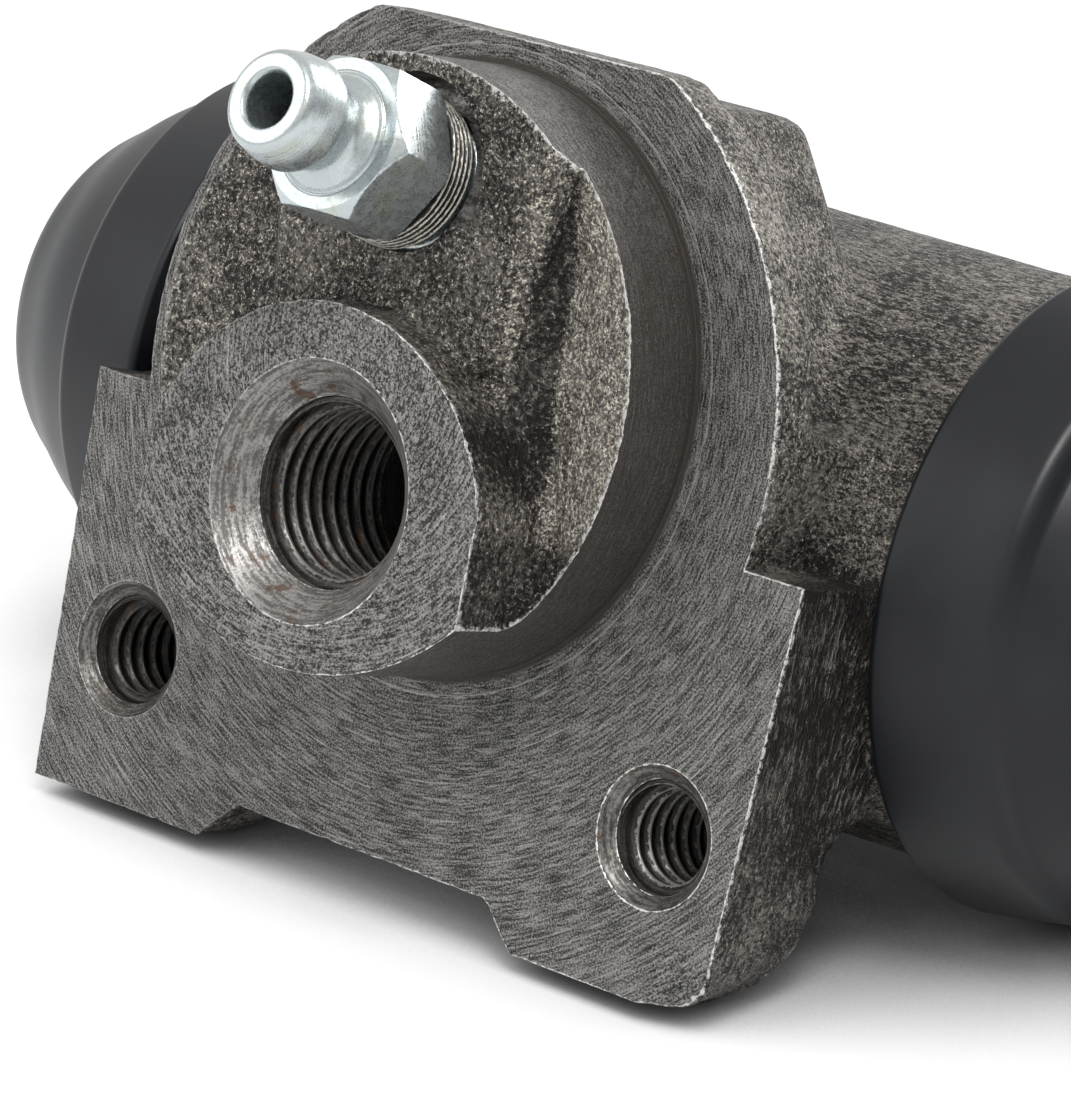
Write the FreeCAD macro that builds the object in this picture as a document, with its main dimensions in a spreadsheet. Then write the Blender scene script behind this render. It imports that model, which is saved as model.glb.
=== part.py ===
"""Drum brake wheel cylinder: an iron housing bored right through, two pistons with their cups, a spring between
them, rubber boots over both ends and a bleed screw. Millimetres; +X along the bore, the mounting flange faces -Y
and +Z is up. The origin is where the spigot's axis crosses the flange face."""

import FreeCAD, Part
import math
import os

import Sketcher

V = FreeCAD.Vector

# Driving sizes, each written once
SIZES = {
    # Bore and barrel
    "axis_back": 21.4,
    "axis_drop": 4.86,
    "bore_radius": 11.11,
    "barrel_wall": 4.34,
    "barrel_half": 30.0,
    "barrel_swell": 0.65,
    "barrel_swell_end": 0.3,
    "boot_gap": 0.3,
    "bore_chamfer": 0.6,
    "boot_groove_depth": 0.9,
    "boot_groove_width": 1.6,
    "boot_groove_inset": 1.6,
    # Mounting flange
    "disc_radius": 21.5,
    "disc_drop": 1.5,
    "disc_thick": 3.5,
    "disc_top": 17.5,
    "disc_corner_round": 2.0,
    "ear_half_width": 25.0,
    "ear_foot_half_width": 24.0,
    "ear_thick": 7.8,
    "shoulder_drop": 5.5,
    "foot_drop": 28.3,
    "foot_gap_half": 11.4,
    "recess_half": 9.0,
    "recess_depth": 2.3,
    "heel_round": 4.6,
    # Web that carries the flange on the barrel, and the cast blends
    "web_top": 1.5,
    "foot_length": 10.5,
    "web_back": 14.0,
    "blend_round": 1.2,
    "under_round": 3.0,
    # Spigot, its rib and the port boss
    "spigot_radius": 16.0,
    "spigot_proud": 5.35,
    "rib_proud": 6.8,
    "rib_half_top": 10.2,
    "rib_half_low": 8.2,
    "rib_low": 1.0,
    "rib_slope": 1.1,
    "boss_proud": 9.5,
    "boss_half": 11.4,
    "boss_arch_radius": 12.0,
    "boss_arch_drop": 9.1,
    "boss_blend_round": 1.0,
    # Bleed boss behind the flange
    "hump_half": 9.7,
    "hump_slope": 0.63,
    "hump_top": 16.1,
    "hump_back": 13.2,
    "hump_round": 1.6,
    # Inlet port
    "port_drop": 6.85,
    "port_radius": 5.0,
    "port_mouth_radius": 6.83,
    "port_thread_depth": 10.6,
    "port_drill_radius": 4.45,
    "port_drill_depth": 12.6,
    "port_passage_radius": 1.5,
    # Mounting bolt holes
    "bolt_offset": 19.0,
    "bolt_drop": 19.95,
    "bolt_radius": 3.0,
    "bolt_mouth_radius": 3.72,
    "bolt_depth": 11.0,
    # Bleed screw and its hole
    "bleed_tilt": 14.1,
    "bleed_turn": 61.6,
    "bleed_mouth_height": 10.0,
    "bleed_thread_radius": 4.0,
    "bleed_thread_clear": 0.05,
    "bleed_thread_engaged": 7.4,
    "bleed_spot_radius": 5.0,
    "bleed_spot_depth": 0.5,
    "bleed_show": 1.9,
    "bleed_hex_flats": 8.0,
    "bleed_hex_length": 4.5,
    "bleed_collar_radius": 3.75,
    "bleed_neck_radius": 2.25,
    "bleed_nipple_radius": 3.02,
    "bleed_nipple_length": 5.4,
    "bleed_hole_radius": 1.43,
    "bleed_side_hole_radius": 0.8,
    "bleed_seat_radius": 1.5,
    "bleed_seat_clear": 0.03,
    "bleed_passage_radius": 1.1,
    # Pistons, cups, expanders and spring
    "piston_clear": 0.03,
    "piston_inner": 12.5,
    "piston_skirt": 15.0,
    "nose_radius": 6.0,
    "nose_end": 47.0,
    "nose_groove_depth": 1.0,
    "slot_width": 5.2,
    "slot_depth": 4.6,
    "cup_clear": 0.02,
    "cup_length": 5.5,
    "cup_base": 2.9,
    "cup_lip": 2.6,
    "expander_thick": 0.6,
    "expander_clear": 0.15,
    "pilot_height": 1.4,
    "pilot_taper": 0.2,
    "spring_wire": 1.0,
    "spring_radius": 3.9,
    "spring_turns": 6.0,
    "spring_clear": 0.05,
    # Rubber boots
    "boot_grip": 3.6,
    "boot_wall": 1.95,
    "boot_fit": 0.05,
    "boot_overhang": 3.4,
    "boot_band_taper": 1.1,
    "boot_step": 1.1,
    "boot_dome_radius": 10.6,
    "nose_show": 2.4,
    "boot_end_round": 1.8,
    "boot_lip_length": 2.6,
    "boot_lip_width": 1.4,
    "boot_lip_clear": 0.1,
}

doc = FreeCAD.newDocument("WheelCylinder")
sizes = doc.addObject("Spreadsheet::Sheet", "sizes")


def fill_sheet():
    """One row per driving size: its alias and its plain number."""
    for row, (alias, number) in enumerate(SIZES.items(), start=1):
        sizes.set(f"A{row}", alias)
        sizes.set(f"B{row}", str(number))
        sizes.setAlias(f"B{row}", alias)
    doc.recompute()


def ref(text):
    """Write the sheet's name before each alias in an expression."""
    words = sorted(SIZES, key=len, reverse=True)
    out, spot = "", 0
    while spot < len(text):
        found = next((w for w in words if text.startswith(w, spot)), None)
        out += "sizes." + found if found else text[spot]
        spot += len(found) if found else 1
    return out


def number(text):
    """The value of an expression over the sheet."""
    result = sizes.evalExpression(ref(text))
    return float(getattr(result, "Value", result))


def bind(thing, path, text):
    thing.setExpression(path, ref(text))


def new_body(label):
    body = doc.addObject("PartDesign::Body", label)
    body.Label = label
    return body


def new_sketch(body, name, role, shift="0"):
    """A sketch on one of the body's own origin planes, moved along the plane's normal."""
    sketch = body.newObject("Sketcher::SketchObject", name)
    plane = next(f for f in body.Origin.OriginFeatures if f.Role == role)
    sketch.AttachmentSupport = (plane, [""])
    sketch.MapMode = "FlatFace"
    if shift != "0":
        bind(sketch, "AttachmentOffset.Base.z", shift)
    return sketch


def pin(sketch, geo, end, across, up):
    """Hold one point of a sketch at two signed expressions."""
    for kind, text in (("DistanceX", across), ("DistanceY", up)):
        row = sketch.addConstraint(Sketcher.Constraint(kind, -1, 1, geo, end, number(text)))
        bind(sketch, f"Constraints[{row}]", text)


def circle(sketch, across, up, radius):
    geo = sketch.addGeometry(Part.Circle(V(number(across), number(up), 0), V(0, 0, 1), number(radius)), False)
    pin(sketch, geo, 3, across, up)
    row = sketch.addConstraint(Sketcher.Constraint("Radius", geo, number(radius)))
    bind(sketch, f"Constraints[{row}]", radius)


def outline(sketch, points, arcs=None):
    """A closed outline through points of two expressions. arcs gives, for the side that starts at a point, how far up
    the arc's centre is and a point on the arc."""
    arcs = arcs or {}
    at = [V(number(a), number(b), 0) for a, b in points]
    count = len(points)
    first = []
    for i in range(count):
        start, end = at[i], at[(i + 1) % count]
        ends = (1, 2)
        edge = Part.LineSegment(start, end)
        if i in arcs:
            bulge = V(*arcs[i][1], 0)
            clockwise = (bulge - start).cross(end - bulge).z < 0
            ends = (2, 1) if clockwise else (1, 2)
            edge = Part.Arc(end, bulge, start) if clockwise else Part.Arc(start, bulge, end)
        sketch.addGeometry(edge, False)
        first.append(ends)
    for i, (across, up) in enumerate(points):
        pin(sketch, i, first[i][0], across, up)
        after = (i + 1) % count
        sketch.addConstraint(Sketcher.Constraint("Coincident", i, first[i][1], after, first[after][0]))
    for i, (up, _) in arcs.items():
        row = sketch.addConstraint(Sketcher.Constraint("DistanceY", -1, 1, i, 3, number(up)))
        bind(sketch, f"Constraints[{row}]", up)


def pad(body, name, sketch, length, reverse=False, both=False):
    feature = body.newObject("PartDesign::Pad", name)
    feature.Profile = sketch
    bind(feature, "Length", length)
    feature.Reversed = reverse
    feature.Midplane = both
    doc.recompute()
    return feature


def cut(body, name, sketch, length, reverse=False, both=False):
    feature = body.newObject("PartDesign::Pocket", name)
    feature.Profile = sketch
    bind(feature, "Length", length)
    feature.Reversed = reverse
    feature.Midplane = both
    doc.recompute()
    return feature


def axis_line(sketch, start, end):
    """A construction line for a turned feature to turn about."""
    a, b = (V(number(p[0]), number(p[1]), 0) for p in (start, end))
    geo = sketch.addGeometry(Part.LineSegment(a, b), True)
    pin(sketch, geo, 1, *start)
    pin(sketch, geo, 2, *end)


def turned(body, name, sketch, adds):
    """Revolve a sketch a full turn about its own construction line."""
    kind = "PartDesign::Revolution" if adds else "PartDesign::Groove"
    feature = body.newObject(kind, name)
    feature.Profile = sketch
    feature.ReferenceAxis = (sketch, ["Axis0"])
    feature.Angle = 360
    doc.recompute()
    return feature


def edges_of(feature, test):
    """Names of a feature's edges whose middle point and edge pass the test."""
    names = []
    for i, edge in enumerate(feature.Shape.Edges, start=1):
        if edge.Degenerated:
            continue
        middle = edge.valueAt((edge.FirstParameter + edge.LastParameter) / 2)
        if test(edge, middle):
            names.append(f"Edge{i}")
    return names


def rounded(body, name, feature, names, radius):
    fillet = body.newObject("PartDesign::Fillet", name)
    fillet.Base = (feature, names)
    bind(fillet, "Radius", radius)
    doc.recompute()
    return fillet


BARREL = "(bore_radius + barrel_wall)"
BORE_BACK = "axis_back"
BORE_UP = "-axis_drop"
WEB_DROP = "(foot_drop - foot_length)"
SKIN_END = "(barrel_half - boot_grip - boot_gap)"


def make_housing():
    """The one iron casting: barrel, flange, spigot, port boss and bleed boss, then its machining."""
    body = new_body("housing")
    barrel = new_sketch(body, "barrel_section", "YZ_Plane")
    circle(barrel, BORE_BACK, BORE_UP, BARREL)
    pad(body, "barrel", barrel, "2 * barrel_half", both=True)
    swell_barrel(body)
    add_flange(body)
    add_web(body)
    add_hump(body)
    blend_web(body)
    add_spigot(body)
    cut_bore(body)
    cut_boot_grooves(body)
    cut_port(body)
    cut_bolt_holes(body)
    cut_bleed_hole(body)
    return body


def swell_barrel(body):
    """The cast skin between the boots, a little thicker at the middle where the mould parts."""
    sketch = new_sketch(body, "swell_section", "XZ_Plane", "-axis_back")
    low, high = f"{BORE_UP} + {BARREL} + barrel_swell_end", f"{BORE_UP} + {BARREL} + barrel_swell"
    axis_line(sketch, ("-10", BORE_UP), ("10", BORE_UP))
    add_loop(sketch, [("-" + SKIN_END, BORE_UP), (SKIN_END, BORE_UP), (SKIN_END, low), ("0", high),
                      ("-" + SKIN_END, low)])
    turned(body, "barrel_skin", sketch, adds=True)


def add_flange(body):
    """A round disc with a flat top, and a lower part with two ears, two feet and a shallow gap between them."""
    disc = new_sketch(body, "disc_outline", "XZ_Plane")
    flat = "sqrt(disc_radius ^ 2 - (disc_top + disc_drop) ^ 2)"
    low = (0, -number("disc_drop + disc_radius"))
    outline(disc, [("-" + flat, "disc_top"), (flat, "disc_top")], {1: ("-disc_drop", low)})
    flat_disc = pad(body, "disc", disc, "disc_thick", reverse=True)
    top = number("disc_top")

    def is_corner(edge, middle):
        return edge.Length > 1 and spans_back(edge) and abs(middle.z - top) < 1e-3

    rounded(body, "disc_corners", flat_disc, edges_of(flat_disc, is_corner), "disc_corner_round")

    ears = new_sketch(body, "ear_outline", "XZ_Plane")
    half = [("ear_half_width", "-shoulder_drop"), ("ear_foot_half_width", "-foot_drop"),
            ("foot_gap_half", "-foot_drop"), ("recess_half", "-(foot_drop - recess_depth)")]
    other = [("-" + across, up) for across, up in reversed(half)]
    outline(ears, half + other)
    lower = pad(body, "ears", ears, "ear_thick", reverse=True)

    back, floor = number("ear_thick"), -number("foot_drop - recess_depth") + 0.05
    heels = edges_of(lower, lambda e, m: abs(m.y - back) < 1e-4 and m.z < floor and e.Length > 1)
    rounded(body, "heel_rounding", lower, heels, "heel_round")


def spans_back(edge):
    """Whether an edge runs mostly towards the back of the flange."""
    first, last = edge.Vertexes[0].Point, edge.Vertexes[-1].Point
    return abs(last.y - first.y) > abs(last.z - first.z)


def add_web(body):
    """The solid metal between the flange's lower part and the barrel: ears' width below, the disc's arc above."""
    sketch = new_sketch(body, "web_outline", "XZ_Plane")
    flat = "sqrt(disc_radius ^ 2 - (web_top + disc_drop) ^ 2)"
    wide = "sqrt(disc_radius ^ 2 - (shoulder_drop - disc_drop) ^ 2)"
    lean = "(ear_half_width - ear_foot_half_width) / (foot_drop - shoulder_drop)"
    low = f"(ear_half_width - {lean} * ({WEB_DROP} - shoulder_drop))"
    half = [(low, "-" + WEB_DROP), ("ear_half_width", "-shoulder_drop"), (wide, "-shoulder_drop"), (flat, "web_top")]
    other = [("-" + across, up) for across, up in reversed(half)]
    side, up = number("disc_radius"), -number("disc_drop")
    outline(sketch, half + other, {2: ("-disc_drop", (side, up)), 4: ("-disc_drop", (-side, up))})
    pad(body, "web", sketch, "web_back", reverse=True)


def add_hump(body):
    """The boss that carries the bleed passage from the flange back over the barrel, its sides drafted."""
    sketch = new_sketch(body, "hump_outline", "XZ_Plane")
    low = "(web_top - hump_round)"
    wide = f"(hump_half + hump_slope * (hump_top - {low}))"
    outline(sketch, [("-" + wide, low), (wide, low), ("hump_half", "hump_top"), ("-hump_half", "hump_top")])
    hump = pad(body, "hump", sketch, "hump_back", reverse=True)
    top, disc = number("hump_top"), number("disc_thick")

    def leaves_top(edge, middle):
        return middle.y > disc + 1e-3 and any(abs(v.Z - top) < 1e-4 for v in edge.Vertexes)

    rounded(body, "hump_rounding", hump, edges_of(hump, leaves_top), "hump_round")


def is_hollow(shape, edge):
    """Whether a solid fills more than half of the space round an edge's middle, as in an inside corner."""
    spot = (edge.FirstParameter + edge.LastParameter) / 2
    middle, along = edge.valueAt(spot), edge.tangentAt(spot)
    across = along.cross(V(0.31, 0.55, 0.77)).normalize() * 0.05
    turns = [FreeCAD.Rotation(along, 30 * k) for k in range(12)]
    return sum(shape.isInside(middle + turn.multVec(across), 1e-6, False) for turn in turns) > 6


def blend_web(body):
    """Cast blends in the inside corners between flange, web, barrel and bleed boss."""
    last = body.Tip
    disc, shoulder, low = number("disc_thick"), -number("shoulder_drop"), -number(WEB_DROP)
    step, skin = number("hump_top - hump_round / 2"), number(SKIN_END) - 1e-3

    def is_root(edge, middle):
        above = shoulder - 1e-3 < middle.z < step and middle.y > disc - 1e-3 and abs(middle.x) < skin
        on_shoulder = abs(middle.z - shoulder) < 1e-3 and spans_back(edge)
        return above and not on_shoulder and is_hollow(last.Shape, edge)

    rounded(body, "root_blend", last, edges_of(last, is_root), "blend_round")
    last = body.Tip
    under = edges_of(last, lambda e, m: abs(m.z - low) < 1e-3 and is_hollow(last.Shape, e))
    rounded(body, "under_blend", last, under, "under_round")


def add_spigot(body):
    """The turned locating spigot, the raised rib on its raw face and the port boss."""
    spigot = new_sketch(body, "spigot_outline", "XZ_Plane")
    circle(spigot, "0", "0", "spigot_radius")
    pad(body, "spigot", spigot, "spigot_proud")

    rib = new_sketch(body, "rib_outline", "XZ_Plane")
    rim = "sqrt(spigot_radius ^ 2 - rib_half_top ^ 2)"
    outline(rib, [("rib_half_low", "rib_low"), ("rib_half_top", rim), ("-rib_half_top", rim),
                  ("-rib_half_low", "rib_low")], {1: ("0", (0, number("spigot_radius")))})
    raised = pad(body, "rib", rib, "rib_proud")
    front, inside = -number("rib_proud"), number("spigot_radius") - 0.5

    def is_flank(edge, middle):
        return abs(middle.y - front) < 1e-4 and math.hypot(middle.x, middle.z) < inside and abs(middle.x) > 1

    sloped = body.newObject("PartDesign::Chamfer", "rib_flanks")
    sloped.Base = (raised, edges_of(raised, is_flank))
    bind(sloped, "Size", "rib_slope")
    doc.recompute()

    boss = new_sketch(body, "boss_outline", "XZ_Plane")
    arch = "-boss_arch_drop + sqrt(boss_arch_radius ^ 2 - boss_half ^ 2)"
    rim = "-sqrt(spigot_radius ^ 2 - boss_half ^ 2)"
    crown = (0, number("boss_arch_radius - boss_arch_drop"))
    outline(boss, [("-boss_half", rim), ("-boss_half", arch), ("boss_half", arch), ("boss_half", rim)],
            {1: ("-boss_arch_drop", crown), 3: ("0", (0, -number("spigot_radius")))})
    raised = pad(body, "port_boss", boss, "boss_proud")
    face, inside, rib = -number("spigot_proud"), number("spigot_radius") - 0.5, number("rib_low") - 0.5

    def is_boss_root(edge, middle):
        on_face = abs(middle.y - face) < 1e-3 and math.hypot(middle.x, middle.z) < inside
        return on_face and middle.z < rib and is_hollow(raised.Shape, edge)

    rounded(body, "boss_blend", raised, edges_of(raised, is_boss_root), "boss_blend_round")


def cut_bore(body):
    bore = new_sketch(body, "bore_section", "YZ_Plane")
    circle(bore, BORE_BACK, BORE_UP, "bore_radius")
    bored = cut(body, "bore", bore, "2 * barrel_half + 4", both=True)
    half, radius = number("barrel_half"), number("bore_radius")

    def is_mouth(edge, middle):
        off = math.hypot(middle.y - number(BORE_BACK), middle.z - number(BORE_UP))
        return abs(abs(middle.x) - half) < 1e-4 and abs(off - radius) < 1e-3

    mouth = body.newObject("PartDesign::Chamfer", "bore_mouths")
    mouth.Base = (bored, edges_of(bored, is_mouth))
    bind(mouth, "Size", "bore_chamfer")
    doc.recompute()


def cut_boot_grooves(body):
    """A groove near each end of the barrel for the boot's bead."""
    sketch = new_sketch(body, "boot_groove_section", "XZ_Plane", "-axis_back")
    near, far = "(barrel_half - boot_groove_inset - boot_groove_width)", "(barrel_half - boot_groove_inset)"
    low, high = f"{BORE_UP} + {BARREL} - boot_groove_depth", f"{BORE_UP} + {BARREL} + 1"
    axis_line(sketch, ("-10", BORE_UP), ("10", BORE_UP))
    add_loop(sketch, [(near, low), (far, low), (far, high), (near, high)])
    add_loop(sketch, [("-" + near, low), ("-" + near, high), ("-" + far, high), ("-" + far, low)])
    turned(body, "boot_grooves", sketch, adds=False)


def add_loop(sketch, points):
    """A further closed loop of straight sides in a sketch that already holds geometry."""
    base = sketch.GeometryCount
    at = [V(number(a), number(b), 0) for a, b in points]
    for i, start in enumerate(at):
        sketch.addGeometry(Part.LineSegment(start, at[(i + 1) % len(at)]), False)
    for i, (across, up) in enumerate(points):
        pin(sketch, base + i, 1, across, up)
        before = base + (i - 1) % len(points)
        sketch.addConstraint(Sketcher.Constraint("Coincident", before, 2, base + i, 1))


def hole_along_y(body, name, across, up, section):
    """A turned hole whose axis runs along Y: section lists depth behind the flange face and radius."""
    sketch = new_sketch(body, name + "_section", "YZ_Plane", across)
    axis_line(sketch, ("-20", up), ("20", up))
    add_loop(sketch, [(depth, f"{up} + {radius}") for depth, radius in section])
    turned(body, name, sketch, adds=False)


def cut_port(body):
    """Inlet port: countersink, threaded length, drill point and the passage to the bore."""
    face = "-boss_proud"
    point = f"{face} + port_drill_depth + 0.6 * (port_drill_radius - port_passage_radius)"
    hole_along_y(body, "inlet_port", "0", "-port_drop", [
        (f"{face} - 1", "0"),
        (f"{face} - 1", "(port_mouth_radius + 1)"),
        (f"{face} + port_mouth_radius - port_radius", "port_radius"),
        (f"{face} + port_thread_depth", "port_radius"),
        (f"{face} + port_thread_depth", "port_drill_radius"),
        (f"{face} + port_drill_depth", "port_drill_radius"),
        (point, "port_passage_radius"),
        ("axis_back - 0.5 * bore_radius", "port_passage_radius"),
        ("axis_back - 0.5 * bore_radius", "0"),
    ])


def cut_bolt_holes(body):
    """Two threaded holes right through the ears, with countersunk mouths."""
    for side, sign in (("left", "-"), ("right", "")):
        hole_along_y(body, f"bolt_hole_{side}", sign + "bolt_offset", "-bolt_drop", [
            ("-1", "0"),
            ("-1", "(bolt_mouth_radius + 1)"),
            ("bolt_mouth_radius - bolt_radius", "bolt_radius"),
            ("bolt_depth", "bolt_radius"),
            ("bolt_depth", "0"),
        ])


def along_bleed(inward, radius):
    """A point of the YZ plane, by its distance in from the bleed hole's mouth and its radius about that axis."""
    across = f"-rib_proud + ({inward}) * cos(bleed_tilt * 1deg) + ({radius}) * sin(bleed_tilt * 1deg)"
    up = f"bleed_mouth_height - ({inward}) * sin(bleed_tilt * 1deg) + ({radius}) * cos(bleed_tilt * 1deg)"
    return across, up


SEAT_START = "(bleed_spot_depth + bleed_thread_engaged + 1)"


def cut_bleed_hole(body):
    """Spot face, thread, conical seat and passage of the bleed screw, tilted up from the flange's normal."""
    sketch = new_sketch(body, "bleed_hole_section", "YZ_Plane")
    axis_line(sketch, along_bleed("-8", "0"), along_bleed("20", "0"))
    end = "(axis_back + rib_proud) / cos(bleed_tilt * 1deg)"
    section = [
        ("-8", "0"), ("-8", "bleed_spot_radius"), ("bleed_spot_depth", "bleed_spot_radius"),
        ("bleed_spot_depth", "bleed_thread_radius"), (SEAT_START, "bleed_thread_radius"),
        (SEAT_START + " + bleed_thread_radius - bleed_passage_radius", "bleed_passage_radius"),
        (end, "bleed_passage_radius"), (end, "0"),
    ]
    add_loop(sketch, [along_bleed(inward, radius) for inward, radius in section])
    turned(body, "bleed_hole", sketch, adds=False)


def turned_body(label, points, arcs=None):
    """A piece turned about its own X axis from points of distance along and radius."""
    body = new_body(label)
    sketch = new_sketch(body, label + "_section", "XY_Plane")
    outline(sketch, points, arcs)
    axis = next(f for f in body.Origin.OriginFeatures if f.Role == "X_Axis")
    spun = body.newObject("PartDesign::Revolution", label + "_turned")
    spun.Profile = sketch
    spun.ReferenceAxis = (axis, [""])
    spun.Angle = 360
    doc.recompute()
    return body


def make_bleed_screw():
    """Hexagon screw with a barbed nipple, drilled from its tip to a side hole above its conical seat."""
    hex_front = "-(bleed_show + bleed_hex_length)"
    tip = f"({hex_front} - bleed_nipple_length)"
    shank = "(bleed_thread_radius - bleed_thread_clear)"
    thread_end = "(bleed_spot_depth + bleed_thread_engaged)"
    gap = "bleed_seat_clear * sqrt(2)"
    neck = "(bleed_seat_radius + bleed_thread_radius) / 2"
    cone_start = f"{SEAT_START} + bleed_thread_radius - {neck} - {gap}"
    cone_end = f"{SEAT_START} + bleed_thread_radius - bleed_seat_radius - {gap}"
    drilled = f"({thread_end} + 2 * bleed_side_hole_radius)"
    body = turned_body("bleed_screw", [
        (tip, "bleed_hole_radius"),
        (tip, "bleed_nipple_radius - 0.55"),
        (f"{tip} + 0.25", "bleed_nipple_radius - 0.4"),
        (f"{tip} + 1.3", "bleed_nipple_radius - 0.04"),
        (f"{tip} + 2.7", "bleed_nipple_radius"),
        (f"{tip} + 3.6", "bleed_neck_radius"),
        (f"{hex_front} - 0.5", "bleed_neck_radius"),
        (f"{hex_front} + 0.1", "bleed_collar_radius - 0.3"),
        (f"{hex_front} + 0.35", "bleed_collar_radius"),
        (f"{hex_front} + 0.5", shank),
        (thread_end, shank),
        (f"{thread_end} + {shank} - {neck}", neck),
        (cone_start, neck),
        (cone_end, "bleed_seat_radius"),
        (cone_end, "0"),
        (drilled, "0"),
        (drilled, "bleed_hole_radius"),
    ])
    hexagon = new_sketch(body, "hexagon", "YZ_Plane", hex_front + " + 0.35")
    corner = "bleed_hex_flats / sqrt(3)"
    outline(hexagon, [(f"{corner} * cos({60 * k} * 1deg)", f"{corner} * sin({60 * k} * 1deg)") for k in range(6)])
    pad(body, "hex_head", hexagon, "bleed_hex_length - 0.35")
    chamfer_hexagon(body, hex_front)
    side = new_sketch(body, "side_hole_outline", "XY_Plane")
    circle(side, f"{drilled} - bleed_side_hole_radius - 0.1", "0", "bleed_side_hole_radius")
    cut(body, "side_hole", side, "2 * bleed_thread_radius + 1", both=True)
    tilt = FreeCAD.Rotation(V(1, 0, 0), -number("bleed_tilt"))
    body.Placement = FreeCAD.Placement(
        V(0, -number("rib_proud"), number("bleed_mouth_height")),
        tilt.multiply(FreeCAD.Rotation(V(0, 0, 1), 90)).multiply(FreeCAD.Rotation(V(1, 0, 0), number("bleed_turn"))))
    return body


def chamfer_hexagon(body, hex_front):
    """Turn both ends of the hexagon's corners down to a cone."""
    flats, corner = "bleed_hex_flats / 2", "(bleed_hex_flats / sqrt(3) + 0.3)"
    drop = f"({corner} - {flats})"
    front, back = f"({hex_front} + 0.35)", "-bleed_show"
    sketch = new_sketch(body, "hex_chamfers", "XY_Plane")
    axis_line(sketch, ("-10", "0"), ("10", "0"))
    add_loop(sketch, [(front, flats), (f"{front} + {drop}", corner), (front, corner)])
    add_loop(sketch, [(back, flats), (back, corner), (f"{back} - {drop}", corner)])
    turned(body, "hex_corners", sketch, adds=False)


def on_bore_line(piece, left):
    """Set a piece made along +X onto the bore's axis, or turned round to face the left end."""
    turn = FreeCAD.Rotation(V(0, 0, 1), 180 if left else 0)
    piece.Placement = FreeCAD.Placement(V(0, number(BORE_BACK), number(BORE_UP)), turn)


BOOT_END = "(nose_end - nose_show)"
LIP_OUT = f"({BOOT_END} - boot_lip_length)"
LIP_IN = f"({LIP_OUT} - boot_lip_width)"


def make_piston(label, left):
    """Turned piston: a skirt in the bore and a grooved nose slotted for the brake shoe."""
    skirt = "(bore_radius - piston_clear)"
    skirt_end = "(piston_inner + piston_skirt)"
    groove = "(nose_radius - nose_groove_depth)"
    body = turned_body(label, [
        ("piston_inner", "0"), ("piston_inner", f"{skirt} - 0.6"), ("piston_inner + 0.6", skirt),
        (f"{skirt_end} - 0.8", skirt), (skirt_end, f"{skirt} - 0.8"), (skirt_end, "nose_radius + 0.6"),
        (f"{skirt_end} + 0.6", "nose_radius"), (f"{LIP_IN} - boot_lip_clear", "nose_radius"),
        (f"{LIP_IN} - boot_lip_clear", groove), (f"{LIP_OUT} + boot_lip_clear", groove),
        (f"{LIP_OUT} + boot_lip_clear", "nose_radius"), ("nose_end - 0.6", "nose_radius"),
        ("nose_end", "nose_radius - 0.6"), ("nose_end", "0"),
    ])
    slot = new_sketch(body, label + "_slot", "XY_Plane")
    half = "slot_width / 2"
    outline(slot, [("nose_end - slot_depth", "-" + half), ("nose_end + 1", "-" + half), ("nose_end + 1", half),
                   ("nose_end - slot_depth", half)])
    cut(body, label + "_shoe_slot", slot, "2 * nose_radius + 2", both=True)
    on_bore_line(body, left)
    return body


CUP = "(bore_radius - cup_clear)"
CUP_FLOOR = "(piston_inner - cup_base)"


def make_cup(label, left):
    """Rubber cup behind the piston, its lip open to the fluid."""
    mouth = "(piston_inner - cup_length)"
    body = turned_body(label, [
        ("piston_inner", "0"), ("piston_inner", f"{CUP} - 0.5"), ("piston_inner - 0.5", CUP), (mouth, CUP),
        (mouth, f"{CUP} - 0.5 * cup_lip"), (CUP_FLOOR, f"{CUP} - cup_lip"), (CUP_FLOOR, "0"),
    ])
    on_bore_line(body, left)
    return body


EXPANDER_FACE = f"({CUP_FLOOR} - expander_thick)"


def make_expander(label, left):
    """Pressed dish that holds the cup's lip out and pilots the spring."""
    rim = f"({CUP} - cup_lip - expander_clear)"
    pilot = "(spring_radius - spring_wire / 2 - expander_clear)"
    top = f"({EXPANDER_FACE} - pilot_height)"
    lip = f"({CUP_FLOOR} - 0.4 * (cup_length - cup_base))"
    body = turned_body(label, [
        (CUP_FLOOR, f"{pilot} - expander_thick"), (CUP_FLOOR, rim), (lip, f"{rim} + 0.2 * cup_lip"),
        (lip, f"{rim} + 0.2 * cup_lip - expander_thick"), (EXPANDER_FACE, f"{rim} - expander_thick"),
        (EXPANDER_FACE, pilot), (top, f"{pilot} - pilot_taper"), (top, "0"), (f"{top} + expander_thick", "0"),
        (f"{top} + expander_thick", f"{pilot} - expander_thick - 0.5 * pilot_taper"),
    ])
    on_bore_line(body, left)
    return body


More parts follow.
